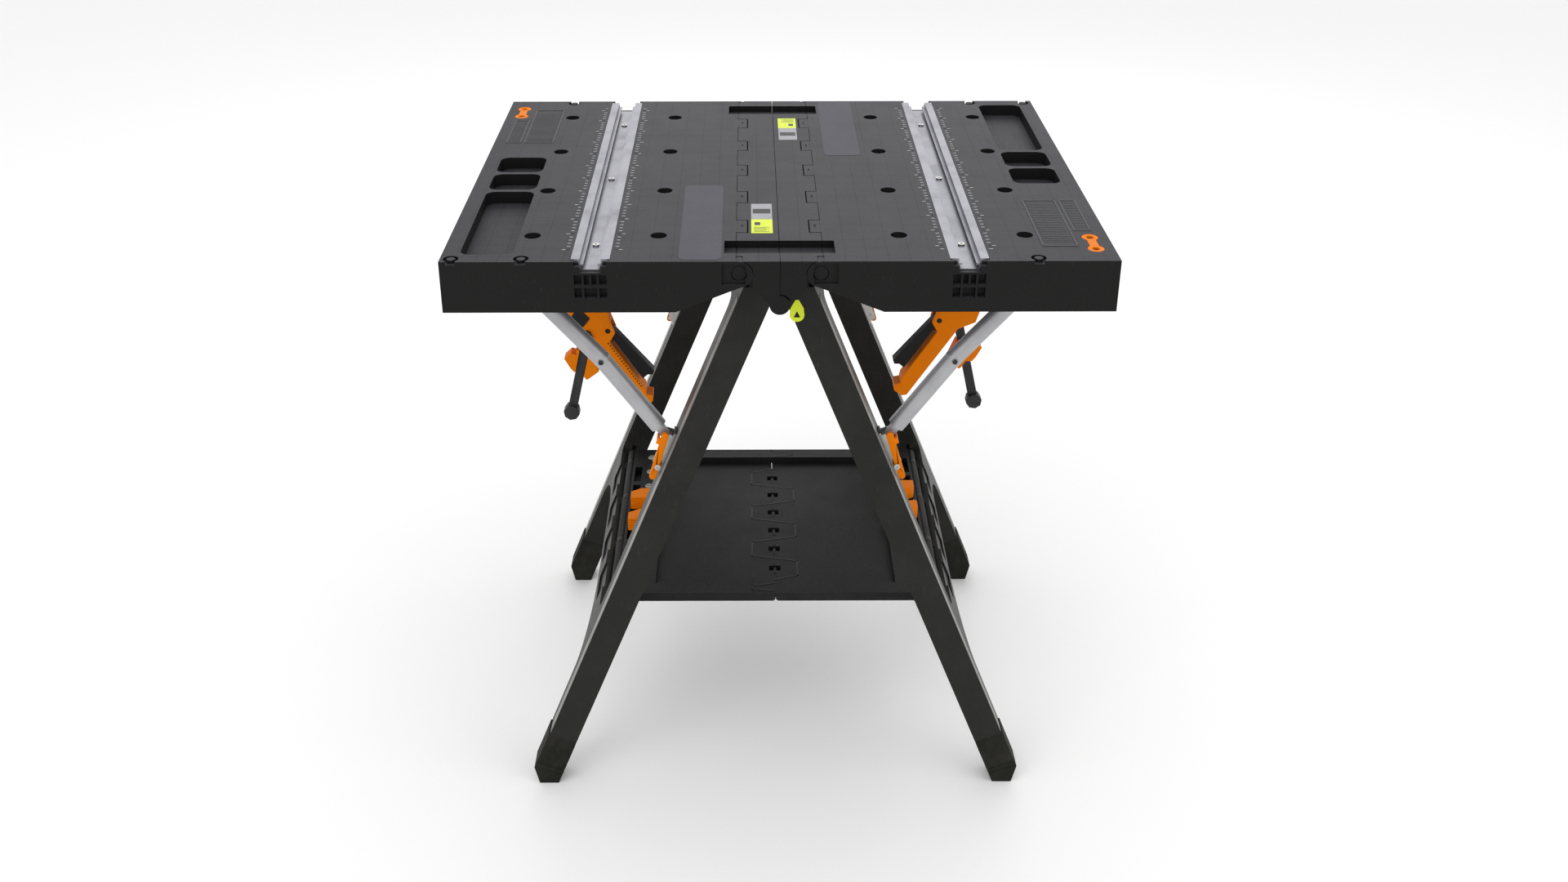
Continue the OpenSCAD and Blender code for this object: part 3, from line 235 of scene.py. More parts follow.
base = {"grainScale": 900.0, "cloudScale": 7.0, "scratchScale": 60.0, "stretch": 14.0, "scuffs": 0.35,
    "bump": 0.35, "bumpDepth": 0.0006, "specular": 0.15, "metallic": 0.0, "ior": 1.46, "wornRough": 0.18}
finishes = {
    "topPlastic": {**base,
        "dark": (0.028, 0.028, 0.033), "light": (0.039, 0.039, 0.045),
        "worn": (0.050, 0.050, 0.056), "scratch": (0.085, 0.085, 0.09),
        "side": (0.0075, 0.0072, 0.0070), "gridColour": (0.020, 0.020, 0.023),
        "rough": (0.45, 0.55), "scuffs": 0.4, "gridPitch": 0.0251, "gridWidth": 0.035},
    "skirtPlastic": {**base,
        "dark": (0.006, 0.006, 0.006), "light": (0.009, 0.009, 0.009),
        "worn": (0.014, 0.014, 0.014), "scratch": (0.03, 0.03, 0.03), "rough": (0.45, 0.56)},
    "legPlastic": {**base,
        "dark": (0.011, 0.0109, 0.0098), "light": (0.019, 0.0188, 0.017),
        "worn": (0.030, 0.0295, 0.027), "scratch": (0.09, 0.088, 0.082), "rough": (0.34, 0.46),
        "scratchScale": 30.0},
    "shelfPlastic": {**base,
        "dark": (0.008, 0.008, 0.008), "light": (0.013, 0.013, 0.0135),
        "worn": (0.022, 0.022, 0.022), "scratch": (0.05, 0.05, 0.05), "rough": (0.42, 0.55),
        "scuffs": 0.6},
    "orangePlastic": {**base,
        "dark": (0.70, 0.165, 0.001), "light": (0.84, 0.215, 0.002), "worn": (0.62, 0.15, 0.004),
        "scratch": (0.85, 0.32, 0.08), "rough": (0.34, 0.46), "bump": 0.2, "scuffs": 0.3,
        "specular": 0.05},
    "trackMetal": {**base,
        "dark": (0.24, 0.24, 0.265), "light": (0.31, 0.31, 0.34), "worn": (0.21, 0.21, 0.23),
        "scratch": (0.45, 0.45, 0.47), "metallic": 0.9, "rough": (0.34, 0.46), "stretch": 60.0,
        "scratchScale": 26.0, "scuffs": 0.6, "bump": 0.12, "grainScale": 500.0},
    "strutMetal": {**base,
        "dark": (0.36, 0.36, 0.375), "light": (0.46, 0.46, 0.475), "worn": (0.28, 0.28, 0.29),
        "scratch": (0.6, 0.6, 0.61), "metallic": 0.6, "rough": (0.32, 0.44), "bump": 0.1,
        "scuffs": 0.5},
    "pinSteel": {**base,
        "dark": (0.42, 0.41, 0.39), "light": (0.6, 0.59, 0.57), "worn": (0.3, 0.28, 0.25),
        "scratch": (0.8, 0.8, 0.8), "metallic": 1.0, "rough": (0.25, 0.4), "bump": 0.1},
    "darkSteel": {**base,
        "dark": (0.024, 0.024, 0.026), "light": (0.045, 0.045, 0.048), "worn": (0.08, 0.08, 0.08),
        "scratch": (0.2, 0.2, 0.2), "metallic": 0.6, "rough": (0.35, 0.5), "scuffs": 0.5},
    "clampBlack": {**base,
        "dark": (0.007, 0.007, 0.008), "light": (0.015, 0.015, 0.016), "worn": (0.03, 0.03, 0.03),
        "scratch": (0.06, 0.06, 0.06), "rough": (0.32, 0.45)},
    "footRubber": {**base,
        "dark": (0.009, 0.009, 0.007), "light": (0.016, 0.016, 0.013),
        "worn": (0.035, 0.034, 0.030), "scratch": (0.08, 0.08, 0.07), "rough": (0.55, 0.7),
        "bump": 0.5, "scuffs": 0.7, "specular": 0.1},
    "panelPlastic": {**base,
        "dark": (0.066, 0.066, 0.079), "light": (0.086, 0.086, 0.102), "worn": (0.08, 0.08, 0.09),
        "scratch": (0.12, 0.12, 0.12), "rough": (0.55, 0.65), "grainScale": 420.0, "bump": 0.8},
    "outlinePlastic": {**base,
        "dark": (0.060, 0.060, 0.068), "light": (0.078, 0.078, 0.086), "worn": (0.09, 0.09, 0.10),
        "scratch": (0.12, 0.12, 0.12), "rough": (0.4, 0.5)},
    # pale grey of the legs' edge strips: painted reflection, with some scuffs on it
    "paintedEdgeReflection": {**base,
        "dark": (0.20, 0.20, 0.19), "light": (0.27, 0.27, 0.255), "worn": (0.15, 0.15, 0.14),
        "scratch": (0.35, 0.35, 0.34), "rough": (0.3, 0.42), "scuffs": 0.6},
    "labelYellow": {**base,
        "dark": (0.60, 0.71, 0.03), "light": (0.68, 0.80, 0.05), "worn": (0.5, 0.6, 0.06),
        "scratch": (0.8, 0.85, 0.4), "specular": 0.08, "rough": (0.25, 0.35), "bump": 0.05,
        "scuffs": 0.25},
    "labelGrey": {**base,
        "dark": (0.26, 0.26, 0.28), "light": (0.32, 0.32, 0.345), "worn": (0.22, 0.22, 0.24),
        "scratch": (0.6, 0.6, 0.6), "rough": (0.25, 0.35), "bump": 0.05, "scuffs": 0.25},
    # near-black for printed marks and seam lines, and for the painted shade on the pegs' slots
    "inkAndPaintedShade": {**base,
        "dark": (0.010, 0.010, 0.010), "light": (0.016, 0.016, 0.016), "worn": (0.04, 0.04, 0.04),
        "scratch": (0.08, 0.08, 0.08), "rough": (0.3, 0.4), "bump": 0.05, "scuffs": 0.2},
    "pegPlastic": {**base,
        "dark": (0.34, 0.335, 0.29), "light": (0.45, 0.445, 0.39), "worn": (0.25, 0.245, 0.21),
        "scratch": (0.55, 0.55, 0.5), "rough": (0.4, 0.5), "bump": 0.2, "scuffs": 0.5},
}
looks = {name: finish(name, settings) for name, settings in finishes.items()}
print("finishes made:", len(looks))


# the first of these words that a part's name holds gives its finish
lookRules = (("wing", "topPlastic"), ("spine", "topPlastic"), ("leg_frame", "legPlastic"), ("foot", "footRubber"),
    ("shelf_rod", "pinSteel"), ("shelf_middle_pin", "darkSteel"), ("clamp_body", "orangePlastic"),
    ("clamp_jaw", "orangePlastic"), ("clamp_trigger", "clampBlack"), ("clamp_bar", "darkSteel"),
    ("clamp_hanger", "clampBlack"), ("dog", "orangePlastic"), ("lever", "orangePlastic"),
    ("link_key", "orangePlastic"), ("track_screws", "pinSteel"), ("track", "trackMetal"),
    ("strut", "strutMetal"), ("hinge_rod", "skirtPlastic"), ("apex_pin", "skirtPlastic"),
    ("shelf", "shelfPlastic"))


def lookFor(name):
    for key, look in lookRules:
        if key in name:
            return look
    return "pinSteel"


bevels = {"width": 0.0008, "segments": 2, "angle": 40, "weld": 0.00001,
    "parts": ("clamp_body", "clamp_jaw", "clamp_trigger", "dog", "lever", "foot", "leg_frame", "link_key",
        "clamp_bar", "clamp_hanger")}
for name, obj in nodes.items():
    obj.data.materials.clear()
    obj.data.materials.append(looks[lookFor(name)])
    if any(key in name for key in bevels["parts"]):
        weld = obj.modifiers.new("weld", "WELD")
        weld.merge_threshold = bevels["weld"]
        bevel = obj.modifiers.new("edges", "BEVEL")
        bevel.width = bevels["width"]
        bevel.segments = bevels["segments"]
        bevel.limit_method = "ANGLE"
        bevel.angle_limit = math.radians(bevels["angle"])
print("parts finished")


def meshPiece(name, bm, look):
    mesh = bpy.data.meshes.new(name)
    bm.to_mesh(mesh)
    bm.free()
    mesh.materials.append(looks[look])
    obj = bpy.data.objects.new(name, mesh)
    bpy.context.scene.collection.objects.link(obj)
    return obj


def addBlock(bm, low, high, chamfer=0.0):
    # a block between two corners, its upper edges chamfered
    xs, ys, zs = (low[0], high[0]), (low[1], high[1]), (low[2], high[2])
    around = ((0, 0), (1, 0), (1, 1), (0, 1))
    bottom = [bm.verts.new((xs[i], ys[j], zs[0])) for i, j in around]
    middle = [bm.verts.new((xs[i], ys[j], zs[1] - chamfer)) for i, j in around]
    top = [bm.verts.new((xs[i] + chamfer * (1 - 2 * i), ys[j] + chamfer * (1 - 2 * j), zs[1])) for i, j in around]
    bm.faces.new(bottom[::-1])
    bm.faces.new(top)
    for ring, upper in ((bottom, middle), (middle, top)):
        for k in range(4):
            bm.faces.new((ring[k], ring[(k + 1) % 4], upper[(k + 1) % 4], upper[k]))


def addFrame(bm, low, high, width, z0, z1, chamfer):
    # a raised rectangular frame
    (x0, y0), (x1, y1) = low, high
    addBlock(bm, (x0, y0, z0), (x1, y0 + width, z1), chamfer)
    addBlock(bm, (x0, y1 - width, z0), (x1, y1, z1), chamfer)
    addBlock(bm, (x0, y0 + width, z0), (x0 + width, y1 - width, z1), chamfer)
    addBlock(bm, (x1 - width, y0 + width, z0), (x1, y1 - width, z1), chamfer)


def roundedRect(low, high, radius, steps=6):
    # outline of a rectangle with round corners, anticlockwise
    points = []
    for cx, cy, start in ((high[0] - radius, high[1] - radius, 0), (low[0] + radius, high[1] - radius, 90),
            (low[0] + radius, low[1] + radius, 180), (high[0] - radius, low[1] + radius, 270)):
        for k in range(steps + 1):
            angle = math.radians(start + 90 * k / steps)
            points.append((cx + radius * math.cos(angle), cy + radius * math.sin(angle)))
    return points


def discPoints(centre, radius, steps=24):
    return [(centre[0] + radius * math.cos(2 * math.pi * k / steps),
        centre[1] + radius * math.sin(2 * math.pi * k / steps)) for k in range(steps)]


def addSlab(bm, points, z0, z1, chamfer=0.0, turn=None):
    # an outline made solid between two heights, its upper edge drawn in
    # turn says where the outline's (a, b) at height h is in the scene
    turn = turn or (lambda a, b, h: (a, b, h))
    cx = sum(p[0] for p in points) / len(points)
    cy = sum(p[1] for p in points) / len(points)
    rings = [(z0, 0.0), (z1, 0.0)] if chamfer == 0 else [(z0, 0.0), (z1 - chamfer, 0.0), (z1, chamfer)]
    loops = []
    for h, inset in rings:
        loop = []
        for a, b in points:
            away = max(math.hypot(a - cx, b - cy), 1e-6)
            scale = 1 - inset / away
            loop.append(bm.verts.new(turn(cx + (a - cx) * scale, cy + (b - cy) * scale, h)))
        loops.append(loop)
    bm.faces.new(loops[0][::-1])
    bm.faces.new(loops[-1])
    for lower, upper in zip(loops, loops[1:]):
        for k in range(len(points)):
            m = (k + 1) % len(points)
            bm.faces.new((lower[k], lower[m], upper[m], upper[k]))
    bmesh.ops.recalc_face_normals(bm, faces=bm.faces)


def buildRowTree():
    # a bar repeated along a line, for the rulers' ticks and the panels' ribs
    tree = bpy.data.node_groups.new("barRow", "GeometryNodeTree")
    face = tree.interface
    face.new_socket(name="Count", in_out="INPUT", socket_type="NodeSocketInt").default_value = 10
    face.new_socket(name="Start", in_out="INPUT", socket_type="NodeSocketVector")
    face.new_socket(name="Step", in_out="INPUT", socket_type="NodeSocketVector")
    face.new_socket(name="Bar Size", in_out="INPUT", socket_type="NodeSocketVector")
    face.new_socket(name="Finish", in_out="INPUT", socket_type="NodeSocketMaterial")
    face.new_socket(name="Geometry", in_out="OUTPUT", socket_type="NodeSocketGeometry")
    gin, gout = tree.nodes.new("NodeGroupInput"), tree.nodes.new("NodeGroupOutput")
    line = tree.nodes.new("GeometryNodeMeshLine")
    line.mode = "OFFSET"
    bar = tree.nodes.new("GeometryNodeMeshCube")
    place = tree.nodes.new("GeometryNodeInstanceOnPoints")
    real = tree.nodes.new("GeometryNodeRealizeInstances")
    paint = tree.nodes.new("GeometryNodeSetMaterial")
    for source, target in ((gin.outputs["Count"], line.inputs["Count"]),
            (gin.outputs["Start"], line.inputs["Start Location"]), (gin.outputs["Step"], line.inputs["Offset"]),
            (gin.outputs["Bar Size"], bar.inputs["Size"]), (line.outputs["Mesh"], place.inputs["Points"]),
            (bar.outputs["Mesh"], place.inputs["Instance"]), (place.outputs["Instances"], real.inputs["Geometry"]),
            (real.outputs["Geometry"], paint.inputs["Geometry"]), (gin.outputs["Finish"], paint.inputs["Material"]),
            (paint.outputs["Geometry"], gout.inputs["Geometry"])):
        tree.links.new(source, target)
    return tree


rowTree = buildRowTree()


def barRow(name, count, start, step, size, look):
    # one row, made by the tree and turned into a plain mesh
    obj = bpy.data.objects.new(name, bpy.data.meshes.new(name))
    bpy.context.scene.collection.objects.link(obj)
    modifier = obj.modifiers.new("row", "NODES")
    modifier.node_group = rowTree
    ids = {item.name: item.identifier for item in rowTree.interface.items_tree if item.in_out == "INPUT"}
    for key, value in (("Count", count), ("Start", start), ("Step", step), ("Bar Size", size),
            ("Finish", looks[look])):
        modifier[ids[key]] = value
    graph = bpy.context.evaluated_depsgraph_get()
    mesh = bpy.data.meshes.new_from_object(obj.evaluated_get(graph))
    obj.modifiers.clear()
    obj.data = mesh
    return obj


def joinPieces(name, parts):
    bm = bmesh.new()
    material = parts[0].data.materials[0]
    for part in parts:
        bm.from_mesh(part.data)
        bpy.data.objects.remove(part)
    mesh = bpy.data.meshes.new(name)
    bm.to_mesh(mesh)
    bm.free()
    mesh.materials.append(material)
    obj = bpy.data.objects.new(name, mesh)
    bpy.context.scene.collection.objects.link(obj)
    return obj


def attach(obj, body):
    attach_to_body(obj, body)


def place(obj, side, body, slot):
    # pieces are drawn on the left, and turned half a turn for the right-hand side
    if side == "right":
        obj.data.transform(Matrix.Rotation(math.pi, 4, "Z"))
    attach(obj, f"{side}_{body}")


rulers = {"pitch": 0.010, "tick": 0.0045, "longEvery": 5, "longTick": 0.009, "width": 0.0006, "height": 0.00025,
    "gap": 0.004, "start": -0.28, "span": 0.56}
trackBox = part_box("left_track")
trackX = (trackBox[0].x + trackBox[1].x) / 2
trackHalf = (trackBox[1].x - trackBox[0].x) / 2


def makeRulers(side):
    parts = []
    for sign in (-1, 1):
        edge = trackX + sign * (trackHalf + rulers["gap"])
        for every, length in ((1, rulers["tick"]), (rulers["longEvery"], rulers["longTick"])):
            step = rulers["pitch"] * every
            count = int(rulers["span"] / step) + 1
            parts.append(barRow("ticks", count, (edge + sign * length / 2, rulers["start"], tableTop), (0, step, 0),
                (length, rulers["width"], rulers["height"]), "skirtPlastic"))
    place(joinPieces(side + "_wing_ruler", parts), side, "wing", "moulding")


# big and small are the framed panels, each with a row of ribs; grip is the textured panel
panels = {"frameWidth": 0.0018, "height": 0.0007, "sunk": 0.001, "chamfer": 0.0002, "ribPitch": 0.0042,
    "ribSize": (0.0018, 0.0008),
    "big": {"low": (-0.352, 0.118), "high": (-0.310, 0.272), "ribStart": (-0.331, 0.127), "ribSpan": 0.138,
        "ribLength": 0.034},
    "small": {"low": (-0.377, 0.118), "high": (-0.356, 0.222), "ribStart": (-0.3665, 0.126), "ribSpan": 0.09,
        "ribLength": 0.013}}
grip = {"low": (-0.118, -0.312), "high": (-0.068, -0.060), "radius": 0.009, "height": 0.0004, "chamfer": 0.0003}


def makePanels(side):
    bm = bmesh.new()
    rows = []
    for key in ("big", "small"):
        panel = panels[key]
        addFrame(bm, panel["low"], panel["high"], panels["frameWidth"], tableTop - panels["sunk"],
            tableTop + panels["height"], panels["chamfer"])
        rows.append(barRow("ribs", int(panel["ribSpan"] / panels["ribPitch"]), (*panel["ribStart"], tableTop),
            (0, panels["ribPitch"], 0), (panel["ribLength"], *panels["ribSize"]), "outlinePlastic"))
    frames = meshPiece("frames", bm, "outlinePlastic")
    place(joinPieces(side + "_wing_panels", [frames, *rows]), side, "wing", "moulding")
    bm = bmesh.new()
    addSlab(bm, roundedRect(grip["low"], grip["high"], grip["radius"]), tableTop - panels["sunk"],
        tableTop + grip["height"], grip["chamfer"])
    place(meshPiece(side + "_wing_grip_panel", bm, "panelPlastic"), side, "wing", "moulding")


for side in ("left", "right"):
    makeRulers(side)
    makePanels(side)
print("flap details made")


# grey half and yellow half of each label, with a plain band, bars and a block in place of print
labels = {"thick": 0.0003, "sunk": 0.001, "chamfer": 0.0001, "low": (-0.033, -0.229), "high": (-0.007, -0.129),
    "split": -0.004, "gap": 0.0006, "ink": 0.00005, "band": (0.020, 0.036), "bandInset": 0.002, "bars": 5,
    "barPitch": 0.0036, "barY": (0.004, 0.0052), "barInset": (0.003, 0.004), "blockX": (0.004, 0.011),
    "blockY": (0.026, 0.036)}


def makeSpineLabel(side):
    (x0, y0), (x1, y1) = labels["low"], labels["high"]
    half = (y0 + y1) / 2 + labels["split"]
    low, high = tableTop - labels["sunk"], tableTop + labels["thick"]
    for name, look, start, end in (("_label_grey", "labelGrey", half + labels["gap"], y1),
            ("_label_yellow", "labelYellow", y0, half)):
        bm = bmesh.new()
        addBlock(bm, (x0, start, low), (x1, end, high), labels["chamfer"])
        place(meshPiece(side + name, bm, look), side, "frame", "moulding")
    bm = bmesh.new()
    top = high + labels["ink"]
    inset, (bandLow, bandHigh) = labels["bandInset"], labels["band"]
    addBlock(bm, (x0 + inset, half + bandLow, tableTop), (x1 - inset, half + bandHigh, top))
    (barLow, barHigh), (left, right) = labels["barY"], labels["barInset"]
    for k in range(labels["bars"]):
        shift = k * labels["barPitch"]
        addBlock(bm, (x0 + left, y0 + barLow + shift, tableTop),
            (x1 - right * (1 + k % 2), y0 + barHigh + shift, top))
    (blockLeft, blockRight), (blockLow, blockHigh) = labels["blockX"], labels["blockY"]
    addBlock(bm, (x0 + blockLeft, y0 + blockLow, tableTop), (x0 + blockRight, y0 + blockHigh, top))
    place(meshPiece(side + "_label_marks", bm, "inkAndPaintedShade"), side, "frame", "moulding")


for side in ("left", "right"):
    makeSpineLabel(side)


tag = {"low": (0.013, 0.712), "high": (0.031, 0.741), "y": -0.264, "back": 0.0002, "thick": 0.0008,
    "chamfer": 0.0002, "shoulder": 0.018, "shoulderInset": 0.001, "tipHalf": 0.002, "markHalf": 0.004,
    "markLow": 0.006, "markHigh": 0.014, "ink": 0.0002}


def onFront(a, b, h):
    # an outline drawn in X and Z that faces the front, h in front of the leg's face
    return (a, tag["y"] - h, b)


def makeTag():
    # a drop with its point up, and a plain triangle on it
    (x0, z0), (x1, z1) = tag["low"], tag["high"]
    radius = (x1 - x0) / 2
    middle = (x0 + x1) / 2
    drop = [(middle + radius * math.cos(math.radians(a)), z0 + radius + radius * math.sin(math.radians(a)))
        for a in range(180, 361, 12)]
    inset, shoulder, tip = tag["shoulderInset"], z0 + tag["shoulder"], tag["tipHalf"]
    drop += [(x1 - inset, shoulder), (middle + tip, z1), (middle - tip, z1), (x0 + inset, shoulder)]
    bm = bmesh.new()
    addSlab(bm, drop, tag["back"], tag["thick"], tag["chamfer"], onFront)
    attach(meshPiece("leg_tag", bm, "labelYellow"), "right_frame")
    half, low, high = tag["markHalf"], z0 + tag["markLow"], z0 + tag["markHigh"]
    mark = [(middle - half, low), (middle + half, low), (middle, high)]
    bm = bmesh.new()
    addSlab(bm, mark, 0, tag["thick"] + tag["ink"], 0, onFront)
    attach(meshPiece("leg_tag_mark", bm, "inkAndPaintedShade"), "right_frame")


makeTag()
print("labels made")


pegs = {"x": -0.190, "ys": (0.085, 0.128, 0.172), "radius": 0.0056, "sunk": 0.010, "proud": 0.0018,
    "chamfer": 0.0008, "slot": 0.0016, "slotReach": 0.8, "slotSunk": 0.001, "slotProud": 0.0001}
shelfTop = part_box("left_shelf")[1].z


def makePegs(side):
    # pale spare pegs standing in the shelf's sockets, each with a flat dark bar of painted shade on its top where a
    # shaded slot would be
    pale, dark = bmesh.new(), bmesh.new()
    top = shelfTop + pegs["proud"]
    x, reach, half = pegs["x"], pegs["radius"] * pegs["slotReach"], pegs["slot"] / 2
    for y in pegs["ys"]:
        addSlab(pale, discPoints((x, y), pegs["radius"]), shelfTop - pegs["sunk"], top, pegs["chamfer"])
        # flat dark bar a hair proud of the peg's top: painted shade of a slot
        addBlock(dark, (x - reach, y - half, top - pegs["slotSunk"]), (x + reach, y + half, top + pegs["slotProud"]))
    place(meshPiece(side + "_shelf_pegs", pale, "pegPlastic"), side, "shelf", "moulding")
    place(meshPiece(side + "_shelf_peg_slot_shade", dark, "inkAndPaintedShade"), side, "shelf", "moulding")


# the line steps to and fro by reach, once per pitch, between the rims at the shelf's ends
seams = {"pitch": 0.0495, "steps": 6, "reach": 0.032, "tip": 0.01775, "width": 0.0022, "height": 0.0004,
    "sunk": 0.001, "rim": 0.1525, "rimYs": (0.174, 0.181, 0.189, 0.193, 0.1968), "drop": 0.0095}


def addStrip(bm, p, q, width, z0, z1):
    # a flat strip from p to q, square ends
    along = Vector((q[0] - p[0], q[1] - p[1])).normalized() * (width / 2)
    across = Vector((-along.y, along.x))
    start, end = Vector(p) - along, Vector(q) + along
    corners = [start - across, end - across, end + across, start + across]
    addSlab(bm, [(c.x, c.y) for c in corners], z0, z1)


def makeSeam():
    # dark line over the gap of the shelf's middle joint, on the left half
    reach, pitch, tip, steps = seams["reach"], seams["pitch"], seams["tip"], seams["steps"]
    path = [(0, -seams["rim"])]
    for k in range(steps):
        x, y = reach * (1 - 2 * (k % 2)), (2 * k + 1 - steps) * pitch / 2
        path += [(x, y - tip), (x, y + tip)]
    path.append((0, seams["rim"]))
    floor = shelfTop - seams["drop"]
    bm = bmesh.new()
    for p, q in zip(path, path[1:]):
        addStrip(bm, p, q, seams["width"], floor - seams["sunk"], floor + seams["height"])
    for sign in (-1, 1):
        rim = [(x * sign, y * sign) for x, y in zip((0, reach, reach, 0, 0), seams["rimYs"])]
        for p, q in zip(rim, rim[1:]):
            addStrip(bm, p, q, seams["width"], shelfTop - seams["sunk"], shelfTop + seams["height"])
    attach(meshPiece("left_shelf_seam", bm, "inkAndPaintedShade"), "left_shelf")


makeSeam()


# drawn upright below the apex, then leant out with the leg
legEdgeReflection = {"lean": 21.8, "apex": 0.7574, "outer": -0.0395, "low": -0.738, "high": -0.035, "y": (-0.2636, -0.246),
    "proud": 0.0005, "sunk": 0.001}


def makeLegEdgeReflections(side):
    # pale strip down the outer face of each leg, by its front and back edges: painted reflection of the bright
    # backdrop, seen at a grazing angle
    bm = bmesh.new()
    for sign in (1, -1):
        ys = sorted((legEdgeReflection["y"][0] * sign, legEdgeReflection["y"][1] * sign))
        addBlock(bm, (legEdgeReflection["outer"] - legEdgeReflection["proud"], ys[0], legEdgeReflection["low"]),
            (legEdgeReflection["outer"] + legEdgeReflection["sunk"], ys[1], legEdgeReflection["high"]))
    # the pale strips are painted reflection on the legs' outer faces
    obj = meshPiece(side + "_leg_edge_reflections", bm, "paintedEdgeReflection")
    obj.data.transform(Matrix.Translation((0, 0, legEdgeReflection["apex"]))
        @ Matrix.Rotation(math.radians(legEdgeReflection["lean"]), 4, "Y"))
    place(obj, side, "frame", "moulding")


# outlines in millimetres from the foot of the bar; rib is one rib's outline about its own place in the row
clampFace = {"foot": (-0.288, 0.458), "y": -0.016, "half": 0.013,
    "pad": ((7, 152), (22, 136), (33, 150), (18, 168)), "padHeight": (-0.001, 0.0012), "padChamfer": 0.0004,
    "knob": ((22, 126), (27, 133), (33, 130), (36, 122), (33, 113), (27, 117)), "knobHeight": (-0.001, 0.003),
    "knobChamfer": 0.0008,
    "ribs": 18, "ribsFrom": (60, 112), "ribsAlong": (46, -70), "ribHeight": (-0.0005, 0.0006),
    "rib": ((-4, -0.2), (-3.2, 1.4), (-1.6, 0.4), (-2.4, -1.2))}


def onClamp(a, b, h):
    # where a point of such an outline is, on the clamp's front face
    x, z = clampFace["foot"]
    return (x + a / 1000, clampFace["y"] - clampFace["half"] - h, z + b / 1000)


def makeClampTrim(side):
    # the dark pad and a dark rounded raised patch on the clamp's head, and ribs down its grip
    bm = bmesh.new()
    addSlab(bm, clampFace["pad"], *clampFace["padHeight"], clampFace["padChamfer"], onClamp)
    addSlab(bm, clampFace["knob"], *clampFace["knobHeight"], clampFace["knobChamfer"], onClamp)
    place(meshPiece(side + "_clamp_pad", bm, "clampBlack"), side, "clamp", "black_plastic")
    bm = bmesh.new()
    count, start, along = clampFace["ribs"], clampFace["ribsFrom"], clampFace["ribsAlong"]
    for k in range(count):
        a, b = start[0] + along[0] * k / count, start[1] + along[1] * k / count
        addSlab(bm, [(a + da, b + db) for da, db in clampFace["rib"]], *clampFace["ribHeight"], 0, onClamp)
    place(meshPiece(side + "_clamp_ribs", bm, "clampBlack"), side, "clamp", "black_plastic")


strutScrew = {"at": (-0.220, 0.645), "y": 0.228, "sunk": 0.0107, "reach": 0.0127, "radius": 0.0036,
    "chamfer": 0.0005}


def makeStrutScrews(side):
    # one screw head on the outer face of each strut, at its bend
    bm = bmesh.new()
    for sign in (-1, 1):
        addSlab(bm, discPoints(strutScrew["at"], strutScrew["radius"]), strutScrew["sunk"], strutScrew["reach"],
            strutScrew["chamfer"], lambda a, b, h: (a, sign * (strutScrew["y"] + h), b))
    place(meshPiece(side + "_strut_screws", bm, "darkSteel"), side, "struts", "steel")


for side in ("left", "right"):
    makePegs(side)
    makeLegEdgeReflections(side)
    makeClampTrim(side)
    makeStrutScrews(side)
print("shelf, clamp and strut details made")


studio = {"worldStrength": 1.0, "worldColour": (1, 1, 1, 1), "floorSize": 30.0,
    "floorColour": (0.9, 0.9, 0.9, 1), "floorRough": 0.8}
lights = {"keyLight": {"place": (-1.6, -2.4, 3.2), "aim": (0, 0, 0.5), "size": 2.2, "energy": 28.0},
    "fillLight": {"place": (2.4, -1.4, 2.2), "aim": (0, 0, 0.4), "size": 2.5, "energy": 12.0},
    "backLight": {"place": (0.3, 2.6, 2.6), "aim": (0, 0, 0.8), "size": 2.4, "energy": 19.2}}


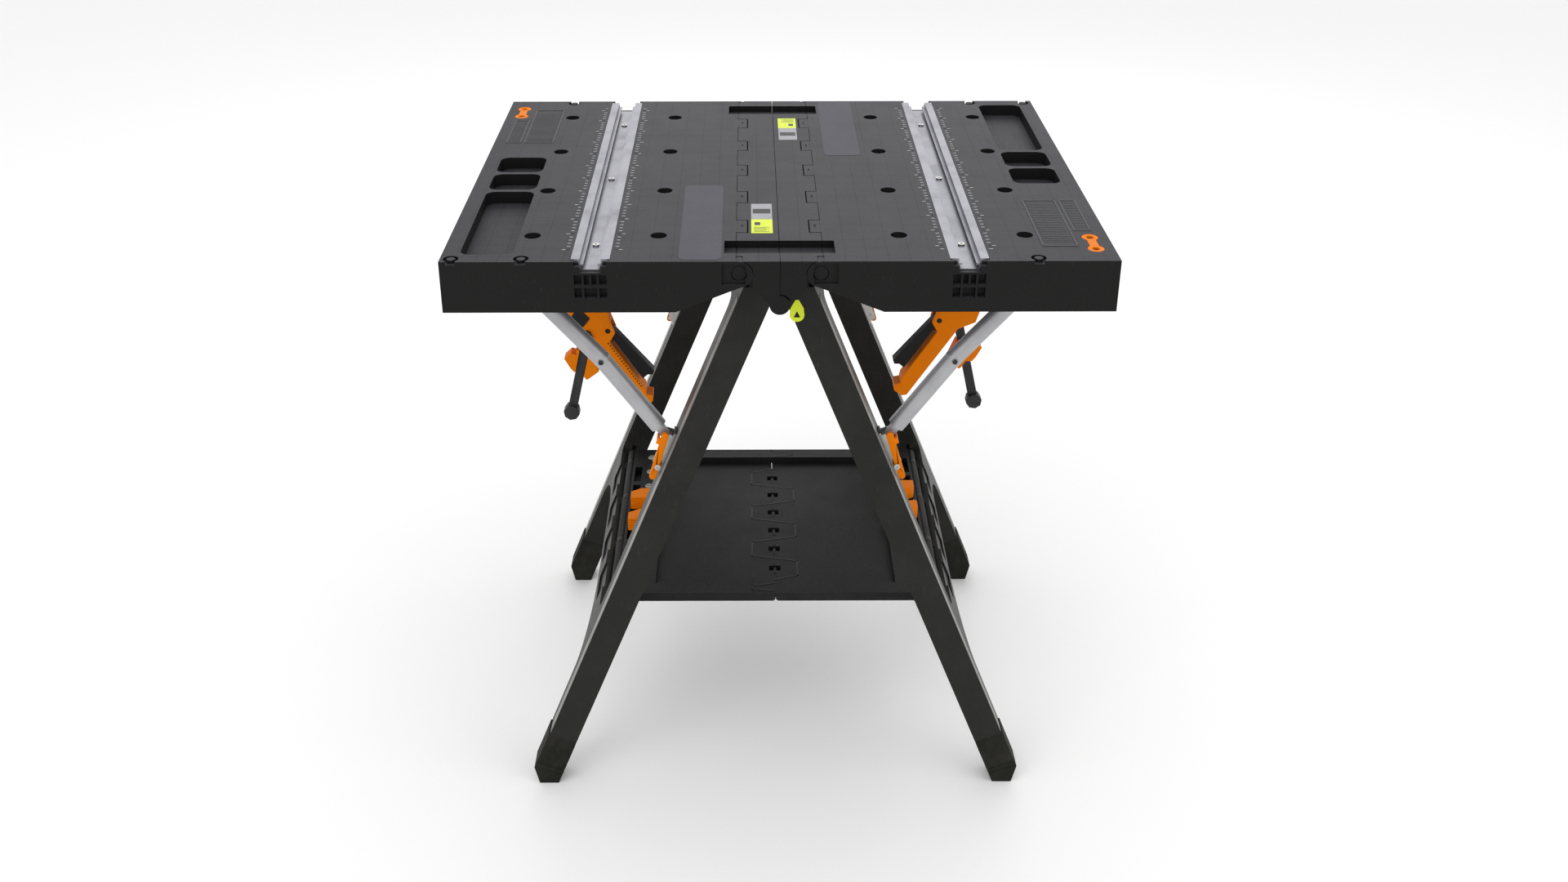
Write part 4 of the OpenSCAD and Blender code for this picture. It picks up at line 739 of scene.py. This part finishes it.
def makeFloor():
    bm = bmesh.new()
    size = studio["floorSize"] / 2
    bm.faces.new([bm.verts.new((x * size, y * size, 0)) for x, y in ((-1, -1), (1, -1), (1, 1), (-1, 1))])
    mesh = bpy.data.meshes.new("floor")
    bm.to_mesh(mesh)
    bm.free()
    material = bpy.data.materials.new("paleFloor")
    material.use_nodes = True
    shader = material.node_tree.nodes["Principled BSDF"]
    shader.inputs["Base Color"].default_value = studio["floorColour"]
    shader.inputs["Roughness"].default_value = studio["floorRough"]
    mesh.materials.append(material)
    obj = bpy.data.objects.new("floor", mesh)
    bpy.context.scene.collection.objects.link(obj)


def makeLight(name, settings):
    data = bpy.data.lights.new(name, "AREA")
    data.size = settings["size"]
    data.energy = settings["energy"]
    obj = bpy.data.objects.new(name, data)
    obj.location = settings["place"]
    toward = Vector(settings["aim"]) - Vector(settings["place"])
    obj.rotation_euler = toward.to_track_quat("-Z", "Y").to_euler()
    bpy.context.scene.collection.objects.link(obj)


makeFloor()
for name, settings in lights.items():
    makeLight(name, settings)
world = bpy.data.worlds.new("studio")
bpy.context.scene.world = world
world.use_nodes = True
background = world.node_tree.nodes["Background"]
background.inputs["Color"].default_value = studio["worldColour"]
background.inputs["Strength"].default_value = studio["worldStrength"]
bpy.context.scene.view_settings.view_transform = "Standard"

view = {"place": (-0.0371, -1.9493, 1.4930), "pitch": 25.048, "yaw": 0.212, "roll": -0.038,
    "sensor": 36, "lens": 35.259, "shiftX": 0.01964, "shiftY": -0.07292, "near": 0.05, "far": 60}


def makeCamera():
    data = bpy.data.cameras.new("camera")
    data.sensor_width = view["sensor"]
    data.lens = view["lens"]
    data.shift_x = view["shiftX"]
    data.shift_y = view["shiftY"]
    data.clip_start = view["near"]
    data.clip_end = view["far"]
    camera = bpy.data.objects.new("camera", data)
    camera.location = view["place"]
    pitch, yaw, roll = (math.radians(view[key]) for key in ("pitch", "yaw", "roll"))
    aim = Vector((math.sin(yaw) * math.cos(pitch), math.cos(yaw) * math.cos(pitch), -math.sin(pitch)))
    turn = aim.to_track_quat("-Z", "Y").to_matrix() @ Matrix.Rotation(roll, 3, "Z")
    camera.rotation_euler = turn.to_euler()
    bpy.context.scene.collection.objects.link(camera)
    bpy.context.scene.camera = camera


makeCamera()
print("floor, lights and camera made")
